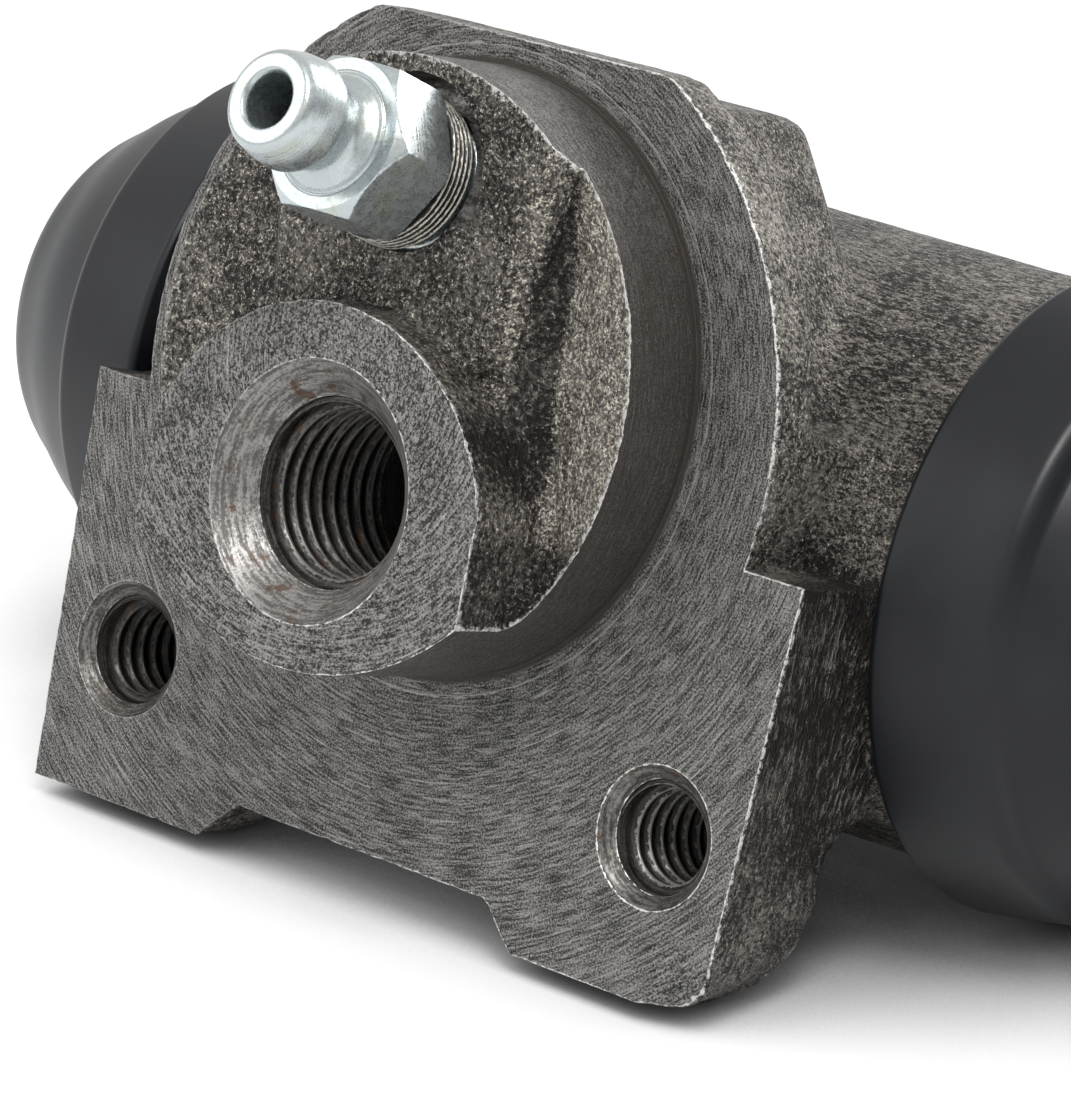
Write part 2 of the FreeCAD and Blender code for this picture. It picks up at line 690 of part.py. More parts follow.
def make_boot(label, left):
    """Rubber boot: a band over the barrel's end, a domed cover and an inner lip in the piston's groove."""
    start = "(barrel_half - boot_grip)"
    inner = f"({BARREL} + boot_fit)"
    outer = f"({BARREL} + boot_wall)"
    shoulder = "(barrel_half + boot_overhang)"
    step_top = f"({outer} - boot_band_taper)"
    step_foot = f"({step_top} - boot_step)"
    stop = "(barrel_half + boot_fit)"
    hole = "(nose_radius + boot_lip_clear)"
    collar = f"({hole} + 1.2)"
    bead = "(nose_radius - nose_groove_depth + boot_lip_clear)"
    groove_in = "(barrel_half - boot_groove_inset - boot_groove_width + boot_fit)"
    groove_out = "(barrel_half - boot_groove_inset - boot_fit)"
    groove_foot = f"({BARREL} - boot_groove_depth + boot_fit)"
    dome_end, crown = f"({BOOT_END} - boot_end_round)", "(boot_dome_radius - boot_end_round)"
    diagonal = number("boot_end_round") * math.sqrt(0.5)
    bend = (number(dome_end) + diagonal, number(crown) + diagonal)
    body = turned_body(label, [
        (start, inner), (start, outer), (shoulder, step_top), (shoulder, step_foot),
        (dome_end, "boot_dome_radius"), (BOOT_END, crown), (BOOT_END, hole), (LIP_OUT, hole),
        (LIP_OUT, bead), (LIP_IN, bead), (LIP_IN, collar), (f"{BOOT_END} - 1.5", collar),
        (f"{BOOT_END} - 1.5", f"{crown} - 0.3"), (f"{shoulder} + 0.3", f"{step_foot} - boot_wall"),
        (stop, f"{step_foot} - boot_wall"), (stop, inner), (groove_out, inner), (groove_out, groove_foot),
        (groove_in, groove_foot), (groove_in, inner),
    ], {4: (crown, bend)})
    on_bore_line(body, left)
    return body


def make_spring():
    """Light coil spring that keeps both cups on their pistons."""
    coil = doc.addObject("Part::Helix", "spring_path")
    bind(coil, "Radius", "spring_radius")
    length = f"(2 * {EXPANDER_FACE} - 2 * spring_clear - spring_wire)"
    bind(coil, "Height", length)
    bind(coil, "Pitch", f"{length} / spring_turns")
    wire = doc.addObject("Part::Circle", "spring_wire_section")
    bind(wire, "Radius", "spring_wire / 2")
    wire.Placement = FreeCAD.Placement(V(number("spring_radius"), 0, 0), FreeCAD.Rotation(V(1, 0, 0), 90))
    spring = doc.addObject("Part::Sweep", "piston_spring")
    spring.Sections = [wire]
    spring.Spine = (coil, ["Edge1"])
    spring.Solid = True
    spring.Frenet = True
    doc.recompute()
    spring.Label = "piston_spring"
    spring.Placement = FreeCAD.Placement(
        V(-number(length) / 2, number(BORE_BACK), number(BORE_UP)), FreeCAD.Rotation(V(0, 1, 0), 90))
    return spring


def check(pieces):
    """Stop with a plain message where an object failed or a piece isn't one whole solid."""
    doc.recompute()
    for thing in doc.Objects:
        if {"Invalid", "Error"} & set(thing.State):
            raise RuntimeError(f"{thing.Label} is {thing.State}")
    for piece in pieces:
        shape = piece.Shape
        if shape.isNull() or not shape.isValid() or len(shape.Solids) != 1:
            raise RuntimeError(f"{piece.Label} isn't one valid solid: {len(shape.Solids)}")
        print(f"{piece.Label}: {shape.Volume:.1f} mm3")


def main():
    fill_sheet()
    pieces = [make_housing(), make_bleed_screw(), make_spring()]
    for side, left in (("left", True), ("right", False)):
        pieces += [make_piston(f"piston_{side}", left), make_cup(f"cup_seal_{side}", left),
                   make_expander(f"cup_expander_{side}", left), make_boot(f"boot_{side}", left)]
    check(pieces)
    os.makedirs("parts", exist_ok=True)
    for piece in pieces:
        piece.Shape.exportStep(f"parts/{piece.Label}.step")


main()
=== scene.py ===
"""Looks of a drum brake wheel cylinder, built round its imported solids.

Lengths inside the classes are millimetres in the solids' own frame: +X along the bore, -Y out of the flange face
along the spigot and +Z up. Meshes are scaled to metres when they are made.
"""

import logging
import math
from dataclasses import dataclass, field
from enum import Enum, IntEnum

import bmesh
import bpy
import numpy as np
from mathutils import Matrix, Vector, kdtree, noise

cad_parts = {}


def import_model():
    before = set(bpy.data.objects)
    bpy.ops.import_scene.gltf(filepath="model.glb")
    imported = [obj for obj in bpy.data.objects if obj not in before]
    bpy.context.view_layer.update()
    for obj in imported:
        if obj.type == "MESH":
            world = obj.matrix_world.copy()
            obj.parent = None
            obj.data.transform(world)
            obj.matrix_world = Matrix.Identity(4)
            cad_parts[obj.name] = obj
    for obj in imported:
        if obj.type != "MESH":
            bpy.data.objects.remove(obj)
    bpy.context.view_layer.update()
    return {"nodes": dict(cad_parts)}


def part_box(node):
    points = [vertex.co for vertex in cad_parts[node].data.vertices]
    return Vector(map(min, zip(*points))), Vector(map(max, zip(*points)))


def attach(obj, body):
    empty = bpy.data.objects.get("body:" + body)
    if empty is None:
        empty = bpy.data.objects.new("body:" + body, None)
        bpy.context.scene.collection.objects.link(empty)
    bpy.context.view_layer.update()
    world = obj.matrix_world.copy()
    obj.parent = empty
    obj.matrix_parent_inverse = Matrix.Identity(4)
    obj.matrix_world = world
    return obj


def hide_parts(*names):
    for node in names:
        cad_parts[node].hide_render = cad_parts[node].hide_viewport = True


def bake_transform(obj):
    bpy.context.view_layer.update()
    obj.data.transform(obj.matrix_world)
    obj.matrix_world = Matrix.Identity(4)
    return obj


MM = 0.001
LOG = logging.getLogger("wheel_cylinder")


class Zone(IntEnum):
    """Which skin a face of the housing has; the value is its material slot."""

    CAST = 0
    TURNED = 1
    DRILLED = 2


class End(Enum):
    """The two ends of the bore, by the sign of X."""

    LEFT = -1
    RIGHT = 1


@dataclass(frozen=True)
class Rod:
    """An axis in space: a point on it and its unit direction."""

    point: tuple[float, float, float]
    along: tuple[float, float, float]

    def basis(self) -> np.ndarray:
        """Rows of three unit vectors: along the axis, then two across it."""
        along = np.array(self.along, float)
        along /= np.linalg.norm(along)
        guide = np.array((0.0, 0.0, 1.0)) if abs(along[2]) < 0.9 else np.array((1.0, 0.0, 0.0))
        across = np.cross(guide, along)
        across /= np.linalg.norm(across)
        return np.stack([along, across, np.cross(along, across)])

    def place(self, far: np.ndarray, radius: np.ndarray, turn: np.ndarray) -> np.ndarray:
        """Points by their distance along the axis, radius and turn.

        Args:
            far: distances along the axis.
            radius: distances off the axis.
            turn: angles about it in radians.

        Returns:
            An array of points, one row each.
        """
        along, across, up = self.basis()
        off = np.cos(turn)[..., None] * across + np.sin(turn)[..., None] * up
        return np.array(self.point) + far[..., None] * along + radius[..., None] * off

    def measure(self, points: np.ndarray) -> tuple[np.ndarray, np.ndarray]:
        """Distance along the axis and off it of each point.

        Args:
            points: rows of three coordinates.

        Returns:
            The distances along, and the distances off the axis.
        """
        gap = points - np.array(self.point)
        along = self.basis()[0]
        far = gap @ along
        return far, np.linalg.norm(gap - far[:, None] * along, axis=1)


@dataclass(frozen=True)
class Sizes:
    """Sizes of the solids that more than one piece needs, in millimetres."""

    axis_back: float = 21.4
    axis_drop: float = 4.86
    bore_radius: float = 11.11
    barrel_radius: float = 15.45
    barrel_half: float = 30.0
    spigot_radius: float = 16.0
    rib_proud: float = 6.8
    boss_proud: float = 9.5
    port_drop: float = 6.85
    port_mouth_radius: float = 6.83
    bolt_offset: float = 19.0
    bolt_drop: float = 19.95
    bolt_mouth_radius: float = 3.72
    bolt_depth: float = 14.1
    bleed_tilt: float = math.radians(14.1)
    bleed_mouth_height: float = 10.0
    bleed_mouth_radius: float = 5.02
    bleed_turn: float = math.radians(61.6)

    @property
    def bore(self) -> Rod:
        """The bore's axis, towards the right end."""
        return Rod((0.0, self.axis_back, -self.axis_drop), (1.0, 0.0, 0.0))

    @property
    def port(self) -> Rod:
        """The inlet port's axis, inwards from the flange face."""
        return Rod((0.0, 0.0, -self.port_drop), (0.0, 1.0, 0.0))

    @property
    def bleed(self) -> Rod:
        """The bleed screw's axis, inwards from its hole's mouth."""
        tilt = self.bleed_tilt
        return Rod((0.0, -self.rib_proud, self.bleed_mouth_height), (0.0, math.cos(tilt), -math.sin(tilt)))

    def bolt(self, end: End) -> Rod:
        """The axis of one mounting bolt hole, inwards from the flange face."""
        return Rod((end.value * self.bolt_offset, 0.0, -self.bolt_drop), (0.0, 1.0, 0.0))


SIZES = Sizes()


class Tree:
    """A material's node tree, with short calls for the nodes that the finishes use."""

    def __init__(self, name: str) -> None:
        """Start a material with its own Principled shader.

        Args:
            name: the material's name.
        """
        self.material = bpy.data.materials.new(name)
        self.material.use_nodes = True
        self.nodes = self.material.node_tree.nodes
        self.links = self.material.node_tree.links
        self.skin = self.nodes["Principled BSDF"]
        place = self.nodes.new("ShaderNodeTexCoord").outputs["Object"]
        self.place = self.vector("SCALE", place, scale=1000.0)

    def put(self, socket: bpy.types.NodeSocket, value: object) -> None:
        """Link a socket, or set its own value."""
        if isinstance(value, bpy.types.NodeSocket):
            self.links.new(value, socket)
        elif value is not None:
            socket.default_value = value

    def vector(self, operation: str, a: object, b: object = None, scale: float | None = None) -> object:
        """One vector operation.

        Args:
            operation: the operation's name.
            a: first vector or socket.
            b: second vector or socket.
            scale: the factor of SCALE.

        Returns:
            The result's socket.
        """
        node = self.nodes.new("ShaderNodeVectorMath")
        node.operation = operation
        self.put(node.inputs[0], a)
        self.put(node.inputs[1], b)
        if scale is not None:
            node.inputs["Scale"].default_value = scale
        return node.outputs["Value" if operation in ("LENGTH", "DOT_PRODUCT") else "Vector"]

    def math(self, operation: str, a: object, b: object = None, c: object = None, clamp: bool = False) -> object:
        """One operation on numbers.

        Args:
            operation: the operation's name.
            a: first number or socket.
            b: second number or socket.
            c: third number or socket.
            clamp: whether the result stays between 0 and 1.

        Returns:
            The result's socket.
        """
        node = self.nodes.new("ShaderNodeMath")
        node.operation = operation
        node.use_clamp = clamp
        for socket, value in zip(node.inputs, (a, b, c)):
            self.put(socket, value)
        return node.outputs[0]

    def plus(self, a: object, b: object) -> object:
        """The sum of two numbers."""
        return self.math("ADD", a, b)

    def minus(self, a: object, b: object) -> object:
        """The first number less the second."""
        return self.math("SUBTRACT", a, b)

    def times(self, *factors: object) -> object:
        """The product of two or more numbers."""
        product = factors[0]
        for factor in factors[1:]:
            product = self.math("MULTIPLY", product, factor)
        return product

    def mixed(self, factor: object, a: object, b: object) -> object:
        """A number between two, by a factor from 0 to 1."""
        return self.plus(a, self.times(factor, self.minus(b, a)))

    def split(self, vector: object) -> tuple[object, object, object]:
        """The X, Y and Z of a vector."""
        node = self.nodes.new("ShaderNodeSeparateXYZ")
        self.put(node.inputs[0], vector)
        return node.outputs[0], node.outputs[1], node.outputs[2]

    def join(self, x: object = 0.0, y: object = 0.0, z: object = 0.0) -> object:
        """A vector of three numbers."""
        node = self.nodes.new("ShaderNodeCombineXYZ")
        for socket, value in zip(node.inputs, (x, y, z)):
            self.put(socket, value)
        return node.outputs[0]

    def noise(self, where: object, scale: float, detail: float = 2.0, rough: float = 0.5, bend: float = 0.0) -> object:
        """Fractal noise from 0 to 1.

        Args:
            where: the vector it is read at.
            scale: its frequency.
            detail: its octaves.
            rough: how strong the finer octaves are.
            bend: its distortion.

        Returns:
            The factor's socket.
        """
        node = self.nodes.new("ShaderNodeTexNoise")
        self.put(node.inputs["Vector"], where)
        for key, value in (("Scale", scale), ("Detail", detail), ("Roughness", rough), ("Distortion", bend)):
            node.inputs[key].default_value = value
        return node.outputs["Fac"]

    def broken_edge(self, radius: float) -> object:
        """The normal with sharp edges shown rounded.

        Args:
            radius: the round in millimetres.

        Returns:
            The normal's socket.
        """
        node = self.nodes.new("ShaderNodeBevel")
        node.samples = 4
        node.inputs["Radius"].default_value = radius * MM
        return node.outputs[0]

    def edge_line(self, thin: float, thick: float) -> object:
        """How far a point lies inside the bright line along a sharp edge, 0 to 1: partly bare metal worn on the edge,
        partly a painted highlight.

        Args:
            thin: the line's least width in millimetres.
            thick: its greatest width.

        Returns:
            The factor's socket.
        """
        width = self.ramp(self.noise(self.place, 2.6, 4.0, 0.8), (0.42, thin), (0.62, thick))
        away = self.math("DIVIDE", self.number("rim"), width)
        # Painted highlight: the line is strongest towards +X and fades to a third of its strength towards -X.
        right = self.ramp(self.split(self.place)[0], (-9.0, 0.3), (5.0, 1.0))
        return self.times(self.ramp(away, (0.5, 1.0), (1.0, 0.0)), right)

    def ramp(self, factor: object, *stops: tuple[float, float]) -> object:
        """A number that runs through stops of (place, value).

        Args:
            factor: where on the ramp.
            stops: two stops, each a place and its value.

        Returns:
            The value's socket.
        """
        node = self.nodes.new("ShaderNodeMapRange")
        node.interpolation_type = "SMOOTHSTEP"
        (low, start), (high, end) = stops
        self.put(node.inputs["Value"], factor)
        for key, value in (("From Min", low), ("From Max", high), ("To Min", start), ("To Max", end)):
            node.inputs[key].default_value = value
        return node.outputs[0]

    def blend(self, factor: object, a: object, b: object) -> object:
        """A colour between two, each a colour or a socket."""
        node = self.nodes.new("ShaderNodeMix")
        node.data_type = "RGBA"
        self.put(node.inputs["Factor"], factor)
        for socket, value in zip([s for s in node.inputs if s.type == "RGBA"], (a, b)):
            self.put(socket, (*value, 1.0) if isinstance(value, tuple) else value)
        return next(s for s in node.outputs if s.type == "RGBA")

    def bump(self, height: object, depth: float, below: object = None) -> object:
        """A bumped normal.

        Args:
            height: the height's socket, 0 to 1.
            depth: how many millimetres a height of 1 stands.
            below: a bumped normal to add to.

        Returns:
            The normal's socket.
        """
        node = self.nodes.new("ShaderNodeBump")
        node.inputs["Strength"].default_value = 1.0
        node.inputs["Distance"].default_value = depth * MM
        self.put(node.inputs["Height"], height)
        self.put(node.inputs["Normal"], below)
        return node.outputs[0]

    def number(self, name: str) -> object:
        """A number stored on the mesh, such as rim, the distance to a sharp edge in millimetres."""
        node = self.nodes.new("ShaderNodeAttribute")
        node.attribute_name = name
        return node.outputs["Fac"]

    def dress(self, color: object, rough: object, metal: float, normal: object = None) -> bpy.types.Material:
        """Set the shader.

        Args:
            color: base colour or socket.
            rough: roughness or socket.
            metal: how metallic it is.
            normal: a bumped normal.

        Returns:
            The material.
        """
        self.put(self.skin.inputs["Base Color"], (*color, 1.0) if isinstance(color, tuple) else color)
        self.put(self.skin.inputs["Roughness"], rough)
        self.skin.inputs["Metallic"].default_value = metal
        self.put(self.skin.inputs["Normal"], normal)
        return self.material


@dataclass(frozen=True)
class CastSkin:
    """Sand cast iron: dark and grained, with painted glints where its grains would catch the light. Painted light and
    shade from the mesh's glow numbers lighten or darken it, and the ears' sides are drawn smoother and darker, the
    darkening a painted shade.
    """

    dark: tuple[float, float, float] = (0.020, 0.018, 0.017)
    pale: tuple[float, float, float] = (0.225, 0.208, 0.186)
    glint: tuple[float, float, float] = (1.0, 0.93, 0.79)
    edge: tuple[float, float, float] = (0.66, 0.65, 0.63)

    def ear_side(self, tree: Tree) -> object:
        """How far a point is on the outer side of an ear, 0 to 1.

        Args:
            tree: the material's tree.

        Returns:
            The share's socket.
        """
        x, y, z = tree.split(tree.place)
        outer = tree.ramp(tree.math("ABSOLUTE", x), (22.9, 0.0), (23.6, 1.0))
        front = tree.ramp(y, (8.6, 1.0), (9.4, 0.0))
        above_foot = tree.ramp(z, (-23.0, 0.25), (-14.0, 1.0))
        below_top = tree.ramp(z, (-4.9, 1.0), (-4.4, 0.0))
        return tree.times(outer, front, above_foot, below_top)

    def relief(self, tree: Tree, ear: object, behind: object) -> object:
        """Height of the grain: even in front, drawn along the barrel behind it and downwards on the ears.

        Args:
            tree: the material's tree.
            ear: the share of an ear's side.
            behind: the share of the skin behind the flange.

        Returns:
            The height's socket.
        """
        x, y, z = tree.split(tree.place)
        along = tree.join(tree.times(x, 0.38), y, z)
        down = tree.join(x, tree.times(y, 1.2), tree.times(z, 0.35))
        grain = tree.noise(tree.place, 3.1, 4.0, 0.66)
        streak = tree.mixed(0.15, tree.noise(along, 5.0, 4.0, 0.72), tree.noise(along, 1.5, 3.0, 0.6))
        return tree.mixed(ear, tree.mixed(behind, grain, streak), tree.noise(down, 3.6, 3.0, 0.6))

    def material(self) -> bpy.types.Material:
        """Build the finish."""
        tree = Tree("cast_skin")
        y = tree.split(tree.place)[1]
        ear = self.ear_side(tree)
        behind = tree.ramp(y, (3.0, 0.0), (9.0, 1.0))
        raw_face = tree.ramp(y, (-2.0, 1.0), (-0.5, 0.0))
        height = self.relief(tree, ear, behind)
        fine = tree.noise(tree.place, 9.0, 2.0, 0.6)
        lump = tree.times(tree.noise(tree.place, 1.3, 2.0, 0.5), tree.mixed(raw_face, 0.3, 1.0))
        pocket = tree.ramp(tree.noise(tree.place, 2.4, 3.0, 0.65), (0.38, 0.45), (0.58, 1.0))
        pocket = tree.mixed(raw_face, 1.0, pocket)
        both = tree.plus(tree.times(height, 0.62), tree.times(fine, 0.38))
        # Painted light and shade: the mesh's glow numbers lighten the tone above 0.5 and darken it below.
        painted_lighting = tree.times(tree.minus(tree.number("glow"), 0.5), 0.15)
        lit = tree.plus(both, painted_lighting)

        patch = tree.noise(tree.place, 0.28, 2.0, 0.5)
        # Painted shade: the tone is darker on the ears' outer sides.
        shade = tree.minus(tree.plus(lit, tree.times(patch, 0.3)), tree.times(ear, 0.07))
        shade = tree.plus(shade, tree.times(behind, tree.minus(height, 0.5), 0.5))
        tone = tree.times(tree.ramp(shade, (0.555, 0.0), (0.77, 1.0)), pocket)
        color = tree.blend(tone, self.dark, self.pale)

        # Painted glints: bright spots where the grain would catch the light, more where the tone is lighter, fewer on
        # the ears' sides and behind the flange.
        painted_glint = tree.plus(tree.noise(tree.place, 6.0, 3.0, 0.75), tree.times(painted_lighting, 0.5))
        painted_glint = tree.times(tree.ramp(painted_glint, (0.53, 0.0), (0.61, 1.0)), tree.ramp(lit, (0.44, 0.0), (0.56, 1.0)), pocket)
        most = tree.times(tree.minus(0.75, tree.times(ear, 0.7)), tree.ramp(y, (-1.0, 1.0), (1.0, 0.5)))
        color = tree.blend(tree.times(painted_glint, most), color, self.glint)
        # Bright edge line: partly worn bare metal, partly a painted highlight.
        color = tree.blend(tree.edge_line(0.05, 0.36), color, self.edge)
        normal = tree.bump(fine, 0.12, tree.bump(height, 0.52, tree.bump(lump, 0.6)))
        return tree.dress(color, tree.ramp(both, (0.38, 0.58), (0.62, 0.34)), 0.8, normal)


@dataclass(frozen=True)
class TurnedSkin:
    """Iron turned on a lathe: mid grey and grainy, with fine rings about the spigot's axis."""

    dark: tuple[float, float, float] = (0.012, 0.0112, 0.0104)
    pale: tuple[float, float, float] = (0.255, 0.247, 0.235)
    scratch: tuple[float, float, float] = (0.40, 0.39, 0.38)
    # Colour of the painted shade on the spigot's side and root.
    shade_colour: tuple[float, float, float] = (0.050, 0.042, 0.036)
    edge: tuple[float, float, float] = (0.66, 0.65, 0.63)

    def side_shade(self, tree: Tree, radius: object, turn: object) -> object:
        """How much painted shade darkens the spigot's side, more towards its lower right and broken up by noise, and
        its root on the flange face, 0 to 1.

        Args:
            tree: the material's tree.
            radius: distance from the spigot's axis.
            turn: angle about it.

        Returns:
            The share's socket.
        """
        x, y, z = tree.split(tree.place)
        rim = SIZES.spigot_radius
        wall = tree.ramp(radius, (rim - 0.14, 0.0), (rim - 0.1, 1.0))
        side = tree.times(wall, tree.ramp(y, (-0.12, 1.0), (-0.02, 0.0)))
        low = tree.ramp(tree.plus(z, tree.times(x, -0.6)), (-2.0, 1.0), (8.0, 0.35))
        shade_break = tree.noise(tree.join(turn, tree.times(y, 4.0)), 1.4, 4.0, 0.7)
        side = tree.times(side, low, tree.ramp(shade_break, (0.40, 0.9), (0.62, 0.5)))
        near = tree.ramp(radius, (rim + 0.2, 1.0), (rim + 0.5, 0.0))
        root = tree.times(near, tree.ramp(y, (-0.5, 0.0), (-0.2, 0.95)))
        clear = tree.times(tree.minus(1.0, side), tree.minus(1.0, root))
        return tree.minus(1.0, clear)

    def material(self) -> bpy.types.Material:
        """Build the finish."""
        tree = Tree("turned_skin")
        x, y, z = tree.split(tree.place)
        radius = tree.math("SQRT", tree.plus(tree.times(x, x), tree.times(z, z)))
        turn = tree.math("ARCTAN2", x, z)
        ring = tree.noise(tree.join(radius, tree.times(turn, 1.6), tree.times(y, 1.6)), 8.0, 3.0, 0.7)
        grain = tree.noise(tree.place, 9.0, 3.0, 0.75)
        both = tree.plus(tree.times(ring, 0.4), tree.times(grain, 0.6))
        patch = tree.times(tree.noise(tree.place, 0.35, 2.0, 0.5), 0.06)
        color = tree.blend(tree.ramp(tree.plus(both, patch), (0.46, 0.0), (0.63, 1.0)), self.dark, self.pale)
        arc = tree.noise(tree.join(radius, tree.times(turn, 0.5), tree.times(y, 1.3)), 5.0, 3.0, 0.7)
        color = tree.blend(tree.ramp(arc, (0.60, 0.0), (0.70, 0.6)), color, self.scratch)
        # Painted shade on the spigot's side and at its root.
        color = tree.blend(self.side_shade(tree, radius, turn), color, self.shade_colour)

        line = tree.minus(radius, tree.plus(SIZES.spigot_radius + 0.75, tree.times(ring, 0.5)))
        line = tree.ramp(tree.math("ABSOLUTE", line), (0.02, 0.6), (0.07, 0.0))
        color = tree.blend(tree.times(line, tree.ramp(y, (-0.02, 0.0), (-0.01, 1.0))), color, self.scratch)
        # Bright edge line: partly worn bare metal, partly a painted highlight.
        color = tree.blend(tree.edge_line(0.04, 0.13), color, self.edge)
        normal = tree.bump(grain, 0.05, tree.bump(ring, 0.045, tree.broken_edge(0.14)))
        return tree.dress(color, tree.ramp(both, (0.4, 0.6), (0.62, 0.42)), 0.62, normal)


@dataclass(frozen=True)
class DrilledSkin:
    """Iron cut by drills and taps: oily, dark, with bright tool rings and some brown rust; painted shade darkens it
    deeper in the holes and painted light lightens the port's countersink.
    """

    name: str = "drilled_skin"
    dark: tuple[float, float, float] = (0.045, 0.040, 0.036)
    pale: tuple[float, float, float] = (0.27, 0.262, 0.25)
    rust: tuple[float, float, float] = (0.075, 0.040, 0.022)
    edge: tuple[float, float, float] = (0.72, 0.71, 0.69)

    def material(self) -> bpy.types.Material:
        """Build the finish."""
        tree = Tree(self.name)
        x, y, z = tree.split(tree.place)
        rings = tree.noise(tree.join(tree.times(x, 0.1), y, tree.times(z, 0.1)), 6.0, 3.0, 0.65)
        pits = tree.noise(tree.place, 6.0, 3.0, 0.7)
        both = tree.plus(tree.times(rings, 0.6), tree.times(pits, 0.4))
        # Painted shade: the tone darkens deeper in the holes.
        deep = tree.ramp(y, (-3.0, 1.0), (3.5, 0.35))
        # Painted light: the tone lightens in front of y -7.2, on the port's countersink.
        cone = tree.ramp(y, (-8.0, 0.22), (-7.2, 0.0))
        tone = tree.times(tree.ramp(both, (0.42, 0.0), (0.62, 1.0)), deep)
        tone = tree.math("ADD", tone, cone, clamp=True)
        color = tree.blend(tone, self.dark, self.pale)
        stain = tree.ramp(tree.noise(tree.place, 0.8, 4.0, 0.65), (0.56, 0.0), (0.68, 0.8))
        color = tree.blend(stain, color, self.rust)
        # Bright edge line: partly worn bare metal, partly a painted highlight.
        color = tree.blend(tree.edge_line(0.03, 0.10), color, self.edge)
        normal = tree.bump(pits, 0.03, tree.bump(rings, 0.05))
        return tree.dress(color, tree.ramp(both, (0.38, 0.5), (0.64, 0.36)), 0.7, normal)


@dataclass(frozen=True)
class ZincPlate:
    """Bright zinc plate with faint yellow and green tints and small handling marks."""

    silver: tuple[float, float, float] = (0.44, 0.48, 0.49)
    yellow: tuple[float, float, float] = (0.45, 0.47, 0.40)
    dull: tuple[float, float, float] = (0.24, 0.26, 0.265)

    def material(self) -> bpy.types.Material:
        """Build the finish."""
        tree = Tree("zinc_plate")
        cloud = tree.noise(tree.place, 0.55, 3.0, 0.55, 0.6)
        mark = tree.noise(tree.place, 2.6, 4.0, 0.7)
        far = tree.vector("DOT_PRODUCT", tree.place, SIZES.bleed.basis()[0].tolist())
        turned = tree.noise(tree.join(far, 0.0, 0.0), 5.0, 3.0, 0.7)
        color = tree.blend(tree.ramp(cloud, (0.5, 0.0), (0.72, 0.6)), self.silver, self.yellow)
        color = tree.blend(tree.ramp(mark, (0.6, 0.0), (0.8, 0.5)), color, self.dull)
        normal = tree.bump(mark, 0.012, tree.bump(turned, 0.02))
        return tree.dress(color, tree.ramp(mark, (0.4, 0.24), (0.7, 0.40)), 0.92, normal)


@dataclass(frozen=True)
class ScrewBore:
    """The plated wall deep in the screw's drilled hole, dark green, its darkness a painted shade."""

    green: tuple[float, float, float] = (0.030, 0.052, 0.044)

    def material(self) -> bpy.types.Material:
        """Build the finish."""
        tree = Tree("screw_bore")
        mark = tree.noise(tree.place, 3.0, 3.0, 0.6)
        # Painted shade: dark green, patchily almost black.
        color = tree.blend(tree.ramp(mark, (0.4, 0.0), (0.65, 1.0)), self.green, (0.008, 0.014, 0.012))
        return tree.dress(color, 0.4, 0.7, tree.bump(mark, 0.02))


@dataclass(frozen=True)
class BootRubber:
    """Moulded rubber with a satin skin, a little dusty."""

    black: tuple[float, float, float] = (0.0036, 0.0042, 0.0056)
    bloom: tuple[float, float, float] = (0.0075, 0.0085, 0.0106)

    def material(self) -> bpy.types.Material:
        """Build the finish."""
        tree = Tree("boot_rubber_skin")
        x, y, z = tree.split(tree.place)
        haze = tree.noise(tree.join(tree.times(x, 1.4), y, z), 0.12, 2.0, 0.5)
        fine = tree.noise(tree.place, 9.0, 3.0, 0.6)
        color = tree.blend(tree.ramp(haze, (0.4, 0.0), (0.7, 1.0)), self.black, self.bloom)
        normal = tree.bump(fine, 0.006)
        tree.skin.inputs["Specular IOR Level"].default_value = 0.3
        return tree.dress(color, tree.ramp(haze, (0.35, 0.36), (0.7, 0.42)), 0.0, normal)


@dataclass(frozen=True)
class PlainMetal:
    """Turned or drawn metal with fine rings along X."""

    name: str
    dark: tuple[float, float, float]
    pale: tuple[float, float, float]
    rough: float

    def material(self) -> bpy.types.Material:
        """Build the finish."""
        tree = Tree(self.name)
        x, y, z = tree.split(tree.place)
        ring = tree.noise(tree.join(x, tree.times(y, 0.08), tree.times(z, 0.08)), 5.0, 3.0, 0.6)
        color = tree.blend(tree.ramp(ring, (0.35, 0.0), (0.65, 1.0)), self.dark, self.pale)
        rough = tree.ramp(ring, (0.3, self.rough + 0.08), (0.7, self.rough))
        return tree.dress(color, rough, 1.0, tree.bump(ring, 0.02))


@dataclass(frozen=True)
class SealRubber:
    """Smooth black rubber of the hidden cups."""

    black: tuple[float, float, float] = (0.012, 0.012, 0.012)

    def material(self) -> bpy.types.Material:
        """Build the finish."""
        tree = Tree("seal_rubber_skin")
        fine = tree.noise(tree.place, 3.0, 3.0, 0.6)
        color = tree.blend(tree.ramp(fine, (0.4, 0.0), (0.7, 1.0)), self.black, (0.028, 0.028, 0.029))
        return tree.dress(color, 0.36, 0.0, tree.bump(fine, 0.01))


def unit(values: np.ndarray) -> np.ndarray:
    """Values held between 0 and 1."""
    return np.clip(values, 0.0, 1.0)


def mesh_piece(
    name: str, points: np.ndarray, faces: list, finish: bpy.types.Material | None = None
) -> bpy.types.Object:
    """A smooth shaded mesh object from points in millimetres.

    Args:
        name: the object's name.
        points: rows of three coordinates in millimetres.
        faces: vertex numbers of each face.
        finish: its material.

    Returns:
        The object, linked to the scene.
    """
    mesh = bpy.data.meshes.new(name)
    mesh.from_pydata((points * MM).tolist(), [], faces)
    mesh.update()
    mesh.polygons.foreach_set("use_smooth", [True] * len(mesh.polygons))
    if finish is not None:
        mesh.materials.append(finish)
    piece = bpy.data.objects.new(name, mesh)
    bpy.context.scene.collection.objects.link(piece)
    return piece


